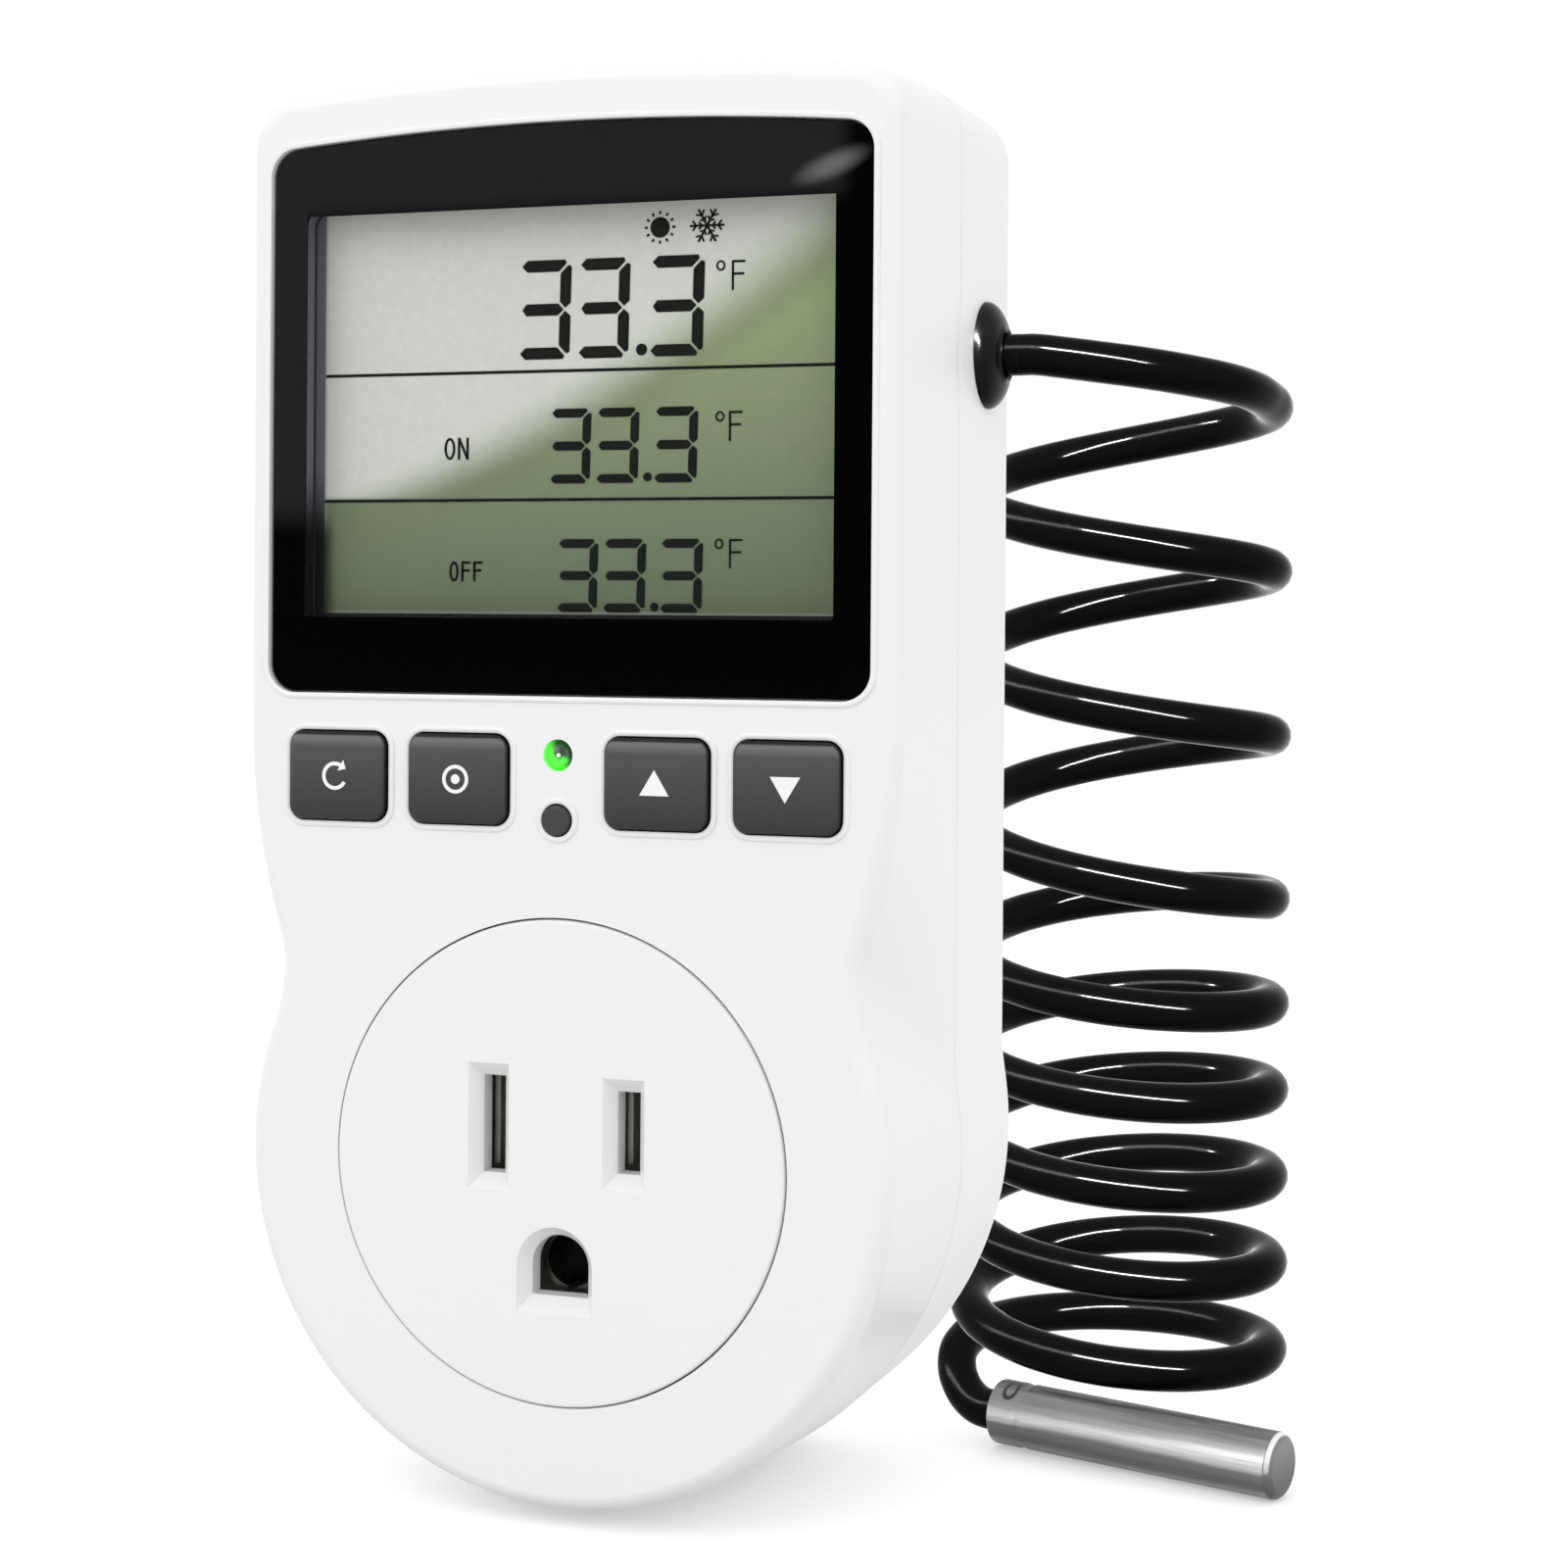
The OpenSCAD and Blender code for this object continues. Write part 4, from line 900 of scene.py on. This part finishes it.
def add_front_shell():
    outer = housing_rings(edge_profile(FRONT_EDGE_IN, EDGE_R) + [(0, d) for d in FADE_DEPTHS]
                          + [(0, PARTING - GROOVE_DEPTH), (GROOVE, PARTING)])
    shell = solid("front_housing_shell", outer)
    depths = (WALL, *FADE_DEPTHS[1:], PARTING + 1)
    inner = housing_rings([(WALL, depth) for depth in depths])
    combine(shell, [solid("inside", inner)], "DIFFERENCE")
    additions = [prism(lens_outline(LEDGE_SIDE), WALL / 2, LEDGE_BACK)]
    additions += posts(CASE_SCREWS, CASE_POST_R, WALL / 2, PARTING)
    additions += posts(BOARD_SCREWS, BOARD_POST_R, WALL / 2, BOARD_POST_BACK)
    combine(shell, additions, "UNION")
    rims = [rim_ring(lens_outline, LENS_GAP), rim_ring(disc(0, RESET_Z, RESET_R), KEY_GAP)]
    rims += [rim_ring(key_outline(x), KEY_GAP) for x in KEY_XS]
    combine(shell, rims, "UNION")
    cuts = [prism(lens_outline(LENS_GAP), CUT_FRONT, LENS_BACK),
            prism(window_outline(), 1, CUT_BACK)]
    openings = [circle(0, RESET_Z, RESET_R + KEY_GAP), circle(0, LED_Z, LED_R + LED_GAP),
                circle(*INSERT_OFF, INSERT_R + INSERT_GAP, 160)]
    openings += [key_outline(x)(KEY_GAP) for x in KEY_XS]
    cuts += [prism(outline, CUT_FRONT, CUT_BACK) for outline in openings]
    cuts += posts(CASE_SCREWS, CASE_BORE_R, 8, PARTING + 1, 32)
    cuts += posts(BOARD_SCREWS, BOARD_BORE_R, 6, 10, 32)
    combine(shell, cuts, "DIFFERENCE")
    clean(shell)
    # the wall that shows through the lens takes the shell's second material
    for face in shell.data.polygons:
        x, y, z = face.center / MM
        inside = abs(x) < WINDOW_W / 2 + 0.05 and WINDOW_LOW - 0.05 < z < WINDOW_TOP + 0.05
        if inside and LENS_BACK < y - FRONT_Y < LEDGE_BACK:
            face.material_index = 1
    dress(shell, [HOUSING, HOLE_WALL], replaced=["front_shell"])


def add_rear_shell():
    edge = reversed(edge_profile(EDGE_R, EDGE_R))
    rings = [(GROOVE, PARTING), (0, PARTING + GROOVE_DEPTH)]
    rings += [(inwards, BODY_DEPTH - depth) for inwards, depth in edge]
    shell = solid("rear_housing_shell", housing_rings(rings))
    inner = housing_rings([(WALL, PARTING - 1), (WALL, REAR_INNER)])
    combine(shell, [solid("inside", inner)], "DIFFERENCE")
    profile = [(grow, BODY_DEPTH + rise) for grow, rise in BOSS_PROFILE]
    additions = [profiled("boss", disc(0, 0, BOSS_R), profile)]
    additions += posts(CASE_SCREWS, CASE_SLEEVE_R, PARTING, BODY_DEPTH - 1)
    additions += posts(POWER_SCREWS, BOARD_POST_R, POWER_POST_FRONT, BODY_DEPTH - 1)
    # the tongues that reach behind the front shell's rim, and their feet on this one's wall
    for side in (-1, 1):
        for z in TONGUE_ZS:
            additions += [bar(side * TONGUE_X, z, *TONGUE_SIZE, PARTING - 2.4, PARTING + 3),
                          bar(side * FOOT_X, z, *TONGUE_SIZE, PARTING + 0.05, PARTING + 3)]
    combine(shell, additions, "UNION")
    cuts = [bar(side * SLOT_X, BLADE_Z, BLADE_HOLE_W, height, *BACK_WALL)
            for side, height in zip((-1, 1), BLADE_HOLE_HEIGHTS)]
    through = [(GLAND_HOLE_R, 0), (GLAND_HOLE_R, 8)]
    cuts += [prism(circle(0, EARTH_Z, EARTH_HOLE_R), *BACK_WALL),
             turned("gland_hole", (26, *GLAND_AT[1:]), ACROSS, through)]
    sink = [(0, HEAD_FLOOR), (0, BODY_DEPTH - 0.35), (0.5, BODY_DEPTH + 0.15)]
    for x, z in CASE_SCREWS:
        cuts += [prism(circle(x, z, CASE_HOLE_R, 32), PARTING - 1, 30),
                 profiled("sink", disc(x, z, HEAD_HOLE_R), sink)]
    cuts += posts(POWER_SCREWS, BOARD_BORE_R, 30, 33.6, 32)
    combine(shell, cuts, "DIFFERENCE")
    dress(clean(shell), [HOUSING], replaced=["rear_shell"])


# ---- outlet
SLOT_BEVEL = (0.9, 1.25, 1.35)  # width, height and depth of the slanted sides
RUN_ON = 1 + 1 / SLOT_BEVEL[2]
SLOT_BACK = 5
FACE_EDGE = 0.3
FLANGE = (1.6, 2.3, 3.9)        # how far it stands out, and its front and back
CAVITY_BACK = CARRIER_FRONT - 0.1
TAIL_X = 11.5
TAIL_NOTCH = (21, 4.2, 21, 14.9, 30)  # the way through for a contact's tail


def slanted_cut(near, far):
    """A straight hole and its slanted sides, run on in front of the face."""
    return solid("slot", [flat(near, -1), flat(far, SLOT_BEVEL[2]), flat(far, SLOT_BACK)])


def slot_cut(x, z, w, h):
    wide, tall = (2 * b * RUN_ON for b in SLOT_BEVEL[:2])
    return slanted_cut(box_points(x, z, w + wide, h + tall), box_points(x, z, w, h))


def earth_outline(grow):
    low = -EARTH_R - grow * SLOT_BEVEL[1] / SLOT_BEVEL[0]
    points = arc(0, 0, EARTH_R + grow, 180, 0, 40)
    points += [(EARTH_R + grow, low), (-EARTH_R - grow, low)]
    return [(x, z + EARTH_Z) for x, z in points]


def add_socket_insert():
    out, front, back = FLANGE
    # from the inside of the face down the tube's inner side, and back up its outer side
    profile = [(-2.0, INSERT_T), (-2.0, CAVITY_BACK), (0.0, CAVITY_BACK), (0.0, back), (out, back),
               (out, front), (0.0, front), (0.0, FACE_EDGE)]
    profile += [(-FACE_EDGE * (1 - math.cos(a)), FACE_EDGE * (1 - math.sin(a)))
                for a in (math.radians(15 * i) for i in range(1, 7))]
    rings = [flat(circle(0, 0, INSERT_R + grow, 160), depth) for grow, depth in profile]
    insert = solid("socket_face", rings)
    cuts = [slot_cut(side * SLOT_X, BLADE_Z, SLOT_W, height)
            for side, height in zip((-1, 1), SLOT_HEIGHTS)]
    cuts.append(slanted_cut(earth_outline(SLOT_BEVEL[0] * RUN_ON), earth_outline(0)))
    cuts += [bar(side * TAIL_X, *TAIL_NOTCH) for side in (-1, 1)]
    combine(insert, cuts, "DIFFERENCE")
    dress(clean(insert), [HOUSING], replaced=["socket_insert"], crease=25)


# ---- display
BORDER_HALF_W = 24.85
BORDER_LOW = 47.0
BORDER_TOP = 82.6
LENS_PROFILE = ((-0.02, LENS_BACK), (0, LENS_BACK - 0.1), (0, 0.45), (-0.07, 0.27),
                (-0.25, LENS_FRONT))


def add_lens():
    seen = arched_box(2 * BORDER_HALF_W, BORDER_LOW, BORDER_TOP, 0.05, rise=0)
    rings = [flat(window_outline(), LENS_BACK)]
    rings += [flat(lens_outline(grow), depth) for grow, depth in LENS_PROFILE]
    rings.append(flat(seen, LENS_FRONT))
    lens = solid("display_window", rings, parts=[0, 0, 0, 0, 0, 0, 1])
    dress(lens, [BORDER, WINDOW], replaced=["display_lens"])


INK_FRONT = GLASS_FRONT - 0.05
SLANT = 0.022
DIGIT_REACH = 0.3
LETTER_W = 0.23
THIN_W = 0.2
FINE_W = 0.17
SUN = (7.78, 80.86)
SUN_RAYS = 12
FLAKE = (12.14, 80.86)
# Each row: its foot, its head, how thick its bars are, its digits' sides, and its point
DIGIT_ROWS = (
    (69.7, 78.4, 1.04, ((-5.13, -0.5), (0.5, 5.06), (7.23, 11.98)), (6.13, 70.35, 0.52)),
    (58.8, 65.35, 0.8, ((-2.12, 1.47), (2.26, 5.99), (7.69, 11.45)), (6.77, 59.3, 0.4)),
    (47.55, 53.95, 0.8, ((-1.37, 2.21), (3.0, 6.72), (8.32, 11.99)), (7.5, 48.05, 0.4)))
# Each unit: the degree sign's middle, and the letter's sides, foot and head
UNIT_MARKS = (((13.42, 77.37), (14.43, 15.66), (75.23, 77.79)),
              ((13.44, 64.43), (14.26, 15.49), (62.31, 64.89)),
              ((13.43, 53.5), (14.35, 15.58), (51.4, 53.92)))
STATES = ((-12.71, -10.29, 61.0, 62.95, "ON"), (-12.14, -8.86, 50.2, 52.0, "OFF"))


def digit_three(x, z, w, h, t):
    """The five lit bars of a seven-bar 3, each as an outline."""
    g = 0.16 * t
    top = [(0, h - t / 2), (t / 2, h), (w - 0.6 * t, h), (w - 0.3 * t - g, h - 0.3 * t),
           (w - t - g, h - t), (t / 2, h - t)]
    right = [(w - 0.3 * t, h - 0.3 * t - g), (w, h - 0.6 * t), (w, h / 2 + 0.4 * t + g),
             (w - t / 2, h / 2 + 0.8 * g), (w - t, h / 2 + t / 2 + g), (w - t, h - t - g)]
    middle = [(0.12 * t, h / 2), (t / 2, h / 2 + t / 2), (w - 1.15 * t, h / 2 + t / 2),
              (w - 0.65 * t, h / 2), (w - 1.15 * t, h / 2 - t / 2), (t / 2, h / 2 - t / 2)]
    below = [[(a, h - b) for a, b in reversed(lit)] for lit in (top, right)]
    return [[(x + a + SLANT * b, z + b) for a, b in lit] for lit in (top, right, middle, *below)]


def stroke(ax, az, bx, bz, width):
    long = math.hypot(bx - ax, bz - az)
    nx, nz = -(bz - az) / long * width / 2, (bx - ax) / long * width / 2
    return [(ax + nx, az + nz), (bx + nx, bz + nz), (bx - nx, bz - nz), (ax - nx, az - nz)]


def letter(kind, x0, x1, z0, z1, width):
    """The strokes of an N or an F."""
    half = width / 2
    left = stroke(x0 + half, z0, x0 + half, z1, width)
    if kind == "N":
        return [left, stroke(x1 - half, z0, x1 - half, z1, width),
                stroke(x0 + half, z1 - 0.05, x1 - half, z0 + 0.05, width)]
    middle = (z0 + z1) / 2 + 0.1 * (z1 - z0) * 0.5
    return [left, stroke(x0 + half, z1 - half, x1, z1 - half, width),
            stroke(x0 + half, middle, x1 - 0.1, middle, width)]


def ring_band(x, z, rx, rz, width, front, back, steps=40):
    """An upright ring, for a zero or a degree sign."""
    turns = [2 * math.pi * i / steps for i in range(steps)]
    outer, inner = ([(x + (rx - less) * math.cos(a), z + (rz - less) * math.sin(a)) for a in turns]
                    for less in (0, width))
    rings = [flat(outer, front), flat(outer, back), flat(inner, back), flat(inner, front)]
    return solid("ring", rings, loop=True)


def merged(name, pieces):
    """Several solids as one mesh."""
    whole = bmesh.new()
    for piece in pieces:
        whole.from_mesh(piece.data)
        bpy.data.objects.remove(piece)
    mesh = bpy.data.meshes.new(name)
    whole.to_mesh(mesh)
    whole.free()
    return placed(name, mesh)


def add_lcd_marks():
    outlines, rings = [], []
    for low, high, thick, spans, (dot_x, dot_z, dot_r) in DIGIT_ROWS:
        for left, right in spans:
            left -= DIGIT_REACH
            wide = right - left - SLANT * (high - low)
            outlines += digit_three(left, low, wide, high - low, thick)
        outlines.append(circle(dot_x, dot_z, dot_r, 24))
    for (deg_x, deg_z), xs, zs in UNIT_MARKS:
        rings.append((deg_x, deg_z, 0.42, 0.46, FINE_W))
        outlines += letter("F", *xs, *zs, THIN_W)
    for x0, x1, z0, z1, word in STATES:
        step = (x1 - x0 + 0.22) / len(word)
        for i, sign in enumerate(word):
            left, right = x0 + i * step, x0 + (i + 1) * step - 0.26
            if sign == "O":
                rings.append(((left + right) / 2, (z0 + z1) / 2, (right - left) / 2,
                              (z1 - z0) / 2, LETTER_W))
            else:
                outlines += letter(sign, left, right, z0, z1, LETTER_W)
    for z in DIVIDERS:
        outlines.append(stroke(-LCD_HALF_W, z, LCD_HALF_W, z, 0.27))
    outlines.append(circle(*SUN, 0.9, 32))
    for i in range(SUN_RAYS):
        a = 2 * math.pi * i / SUN_RAYS
        outlines.append(stroke(*around(*SUN, 1.14, a), *around(*SUN, 1.42, a), THIN_W))
    for i in range(6):
        a = math.pi / 3 * i
        outlines.append(stroke(*FLAKE, *around(*FLAKE, 1.6, a), THIN_W))
        for reach, twig in ((0.5, 0.42), (1.0, 0.55)):
            root = around(*FLAKE, reach, a)
            for turn in (a - 0.9, a + 0.9):
                outlines.append(stroke(*root, *around(*root, twig, turn), FINE_W))
    marks = [prism(points, INK_FRONT, GLASS_FRONT) for points in outlines]
    marks += [ring_band(*values, INK_FRONT, GLASS_FRONT) for values in rings]
    dress(merged("lcd_marks", marks), [INK])


def add_lcd_panel():
    """Two plates of glass; the rear one reaches lower, for the contacts."""
    low, top = WINDOW_LOW - 0.1, 84.8
    width = WINDOW_W + 0.6
    rings = [flat([(-width / 2, z1), (width / 2, z1), (width / 2, z0), (-width / 2, z0)], depth)
             for depth, z0, z1 in ((GLASS_FRONT, low, top), (GLASS_MIDDLE, low, top),
                                   (GLASS_MIDDLE, low - 0.4, top), (GLASS_BACK, low - 0.4, top))]
    dress(solid("lcd_glass_plates", rings), [LCD], replaced=["lcd_panel"])


# ---- keys, reset button and lamp
# How far a cap grows beyond its outline, and its depth there
KEY_PROFILE = ((0.75, 3.35), (0.75, 2.35), (0.0, 2.35), (0.0, -0.36), (-0.03, -0.48), (-0.1, -0.58),
               (-0.22, -0.66), (-0.4, -0.72), (-0.75, -0.78), (-1.3, -0.83), (-2.0, -0.87),
               (-2.7, -0.89), (-3.4, -KEY_PROUD))
PRINT_RISE = 0.03
STEM_FRONT = 3.0
KEY_STEM_R = 2.0
RESET_STEM_R = 1.3
RESET_PROFILE = ((0.8, 3.35), (0.8, 2.35), (0.0, 2.35), (0.0, -0.28), (-0.05, -0.4), (-0.16, -0.47),
                 (-0.35, -0.5))
SIGN_R = 1.25
ARROW_AT = math.radians(60)
LEG_X = 0.635
LEG_W = 0.5


def key_marks(kind, x):
    """Plain signs in place of words: a turning arrow, a dot in a ring, and two triangles."""
    z = KEY_Z
    if kind == "up":
        return [[(x - 1.35, z - 0.95), (x, z + SIGN_R), (x + 1.35, z - 0.95)]], []
    if kind == "down":
        return [[(x - 1.35, z + 0.95), (x + 1.35, z + 0.95), (x, z - SIGN_R)]], []
    if kind == "set":
        return [circle(x, z, 0.42, 24)], [(x, z, SIGN_R, SIGN_R, 0.32)]
    sweep = arc(x, z, SIGN_R, 60, 330, 30) + arc(x, z, 0.92, 330, 60, 30)
    head = around(x, z, 1.085, ARROW_AT)
    arrow = [around(*head, far, turn)
             for far, turn in ((0.62, ARROW_AT - math.pi / 2), (-0.55, ARROW_AT), (0.55, ARROW_AT))]
    return [sweep, arrow], []


def add_key(kind, x):
    rings = [flat(key_outline(x)(grow), depth) for grow, depth in KEY_PROFILE]
    cap = solid(kind + "_key_cap", rings)
    combine(cap, posts([(x, KEY_Z)], KEY_STEM_R, STEM_FRONT, PLUNGER_FRONT), "UNION")
    dress(clean(cap), [KEY], kind + "_button", [kind + "_key"], crease=50)
    outlines, bands = key_marks(kind, x)
    front, back = -KEY_PROUD - PRINT_RISE, -KEY_PROUD + 0.12
    marks = [prism(points, front, back) for points in outlines]
    marks += [ring_band(*values, front, back) for values in bands]
    dress(merged(kind + "_key_sign", marks), [PRINT], kind + "_button")


def add_reset():
    cap = profiled("reset_button_cap", disc(0, RESET_Z, RESET_R), RESET_PROFILE)
    combine(cap, posts([(0, RESET_Z)], RESET_STEM_R, STEM_FRONT, PLUNGER_FRONT), "UNION")
    dress(clean(cap), [RESET], "reset_button", ["reset_key"])


def add_lamp():
    dome = [(LED_R * math.sin(a), -0.35 + LED_R * (1 - math.cos(a)))
            for a in (math.radians(90 * i / 16) for i in range(1, 17))]
    rings = [(r - LED_R, depth) for r, depth in dome] + [(0, 4.25), (0.4, 4.25), (0.4, 5.05)]
    lamp = profiled("status_lamp", disc(0, LED_Z, LED_R), rings)
    legs = [bar(side * LEG_X, LED_Z, LEG_W, LEG_W, 4.65, 9.0) for side in (-1, 1)]
    combine(lamp, legs, "UNION")
    dress(clean(lamp), [LAMP], replaced=["status_led"], crease=50)


# ---- gland and probe
GLAND_R = 4.9
GLAND_NECK = 3.6
GLAND_BORE = 1.95
GLAND_FOOT = 0.05
PROBE_EDGE = 0.8


def add_gland():
    profile = [(GLAND_BORE, -3.45), (GLAND_R, -3.45), (GLAND_R, -2.25), (GLAND_NECK, -2.25),
               (GLAND_NECK, GLAND_FOOT)]
    profile += [(GLAND_R * math.cos(a), GLAND_FOOT + 2.0 * math.sin(a))
                for a in (math.radians(5 * i) for i in range(13))]
    profile += [(2.35, 1.95), (2.15, 1.86), (2.03, 1.6), (GLAND_BORE, 1.1)]
    gland = turned("gland_ring", GLAND_AT, ACROSS, profile, loop=True)
    dress(gland, [GLAND], replaced=["cable_gland"], crease=50)


def add_probe():
    axis = Vector((math.cos(PROBE_TURN), math.sin(PROBE_TURN), 0))
    # the bore, the mouth's rounding, a shallow groove, and the end, which is closed
    profile = [(PROBE_BORE, PROBE_LEN - 0.4), (PROBE_BORE, 0.12), (2.72, 0.03), (2.85, 0.0),
               (2.96, 0.05), (PROBE_R, 0.18), (PROBE_R, 2.6), (2.9, 2.9), (2.9, 3.3),
               (PROBE_R, 3.6), (PROBE_R, 14.0)]
    profile += [(PROBE_R - PROBE_EDGE * (1 - math.cos(a)),
                 PROBE_LEN - PROBE_EDGE * (1 - math.sin(a)))
                for a in (math.radians(9 * i) for i in range(11))]
    probe = turned("probe_sleeve", PROBE_AT, axis, profile)
    return dress(probe, [STEEL], replaced=["probe_tube"], crease=40)


add_front_shell()
add_rear_shell()
add_socket_insert()
add_lens()
add_lcd_panel()
add_lcd_marks()
for kind, key_x in zip(("mode", "set", "up", "down"), KEY_XS):
    add_key(kind, key_x)
add_reset()
add_lamp()
add_gland()
probe = add_probe()

cord.data.materials.append(CORD)
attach(cord, BODY)
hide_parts("sensor_lead", "sensor_coil", "probe_lead")

# ---- floor, world and lamps
FLOOR_Z = -31.6
FLOOR_SIZE = 4000.0
FLOOR_GLOW = 0.42
AMBIENT = 0.98


def seen_rays(tree):
    """1 for the rays that show the background: the camera's, mirrored and let-through ones."""
    rays = node(tree, "ShaderNodeLightPath")
    shown = maths("MAXIMUM", rays.outputs["Is Camera Ray"], rays.outputs["Is Glossy Ray"])
    return maths("MAXIMUM", shown, rays.outputs["Is Transmission Ray"])


def add_floor():
    half = FLOOR_SIZE / 2
    mesh = bpy.data.meshes.new("floor")
    corners = [(-half, -half), (half, -half), (half, half), (-half, half)]
    mesh.from_pydata([Vector((x, y, FLOOR_Z)) * MM for x, y in corners], [], [(0, 1, 2, 3)])
    floor = placed("floor", mesh)
    made, tree, shader = new_material("pale_floor")
    feed(shader, {"Base Color": (0.7, 0.7, 0.7, 1), "Roughness": 0.9,
                  "Specular IOR Level": 0.0, "Emission Color": (1, 1, 1, 1),
                  "Emission Strength": times(seen_rays(tree), FLOOR_GLOW)})
    mesh.materials.append(made)


def add_world():
    world = bpy.data.worlds.new("white_studio")
    world.use_nodes = True
    tree = world.node_tree
    level = scaled(seen_rays(tree), 1 - AMBIENT, AMBIENT)
    feed(tree.nodes["Background"], {"Color": (1, 1, 1, 1), "Strength": level})
    bpy.context.scene.world = world


def add_lamp_panel(name, place, aim, width, height, watts, only=()):
    """A lamp in metres. Where only is given, it lights and is shaded by those pieces alone."""
    data = bpy.data.lights.new(name, "AREA")
    data.shape = "RECTANGLE"
    data.size, data.size_y = width, height
    data.energy = watts
    panel = placed(name, data)
    panel.location = place
    panel.rotation_euler = (Vector(aim) - Vector(place)).to_track_quat("-Z", "Y").to_euler()
    if only:
        lit = bpy.data.collections.new(name + "_lights")
        for piece in only:
            lit.objects.link(piece)
        panel.light_linking.receiver_collection = lit
        panel.light_linking.blocker_collection = lit


add_floor()
add_world()
add_lamp_panel("soft_key", (-0.35, -0.75, 0.65), (0, 0, 0.03), 0.7, 0.7, 2.2)
cord_only = [cord, nodes["lead_inner_end"], bpy.data.objects["gland_ring"]]
add_lamp_panel("cord_strip", (-0.1, -0.5, 0.47), (0.04, 0, 0.03), 2.2, 0.06, 750, cord_only)
# as in the photograph, the lead darkens neither the wall nor the floor, and isn't mirrored
cord.visible_diffuse = cord.visible_shadow = cord.visible_glossy = False
add_lamp_panel("side_fill", (0.85, -0.15, 0.3), (0.03, 0.015, 0.03), 0.9, 0.9, 1.2)

bpy.context.scene.view_settings.view_transform = "Standard"
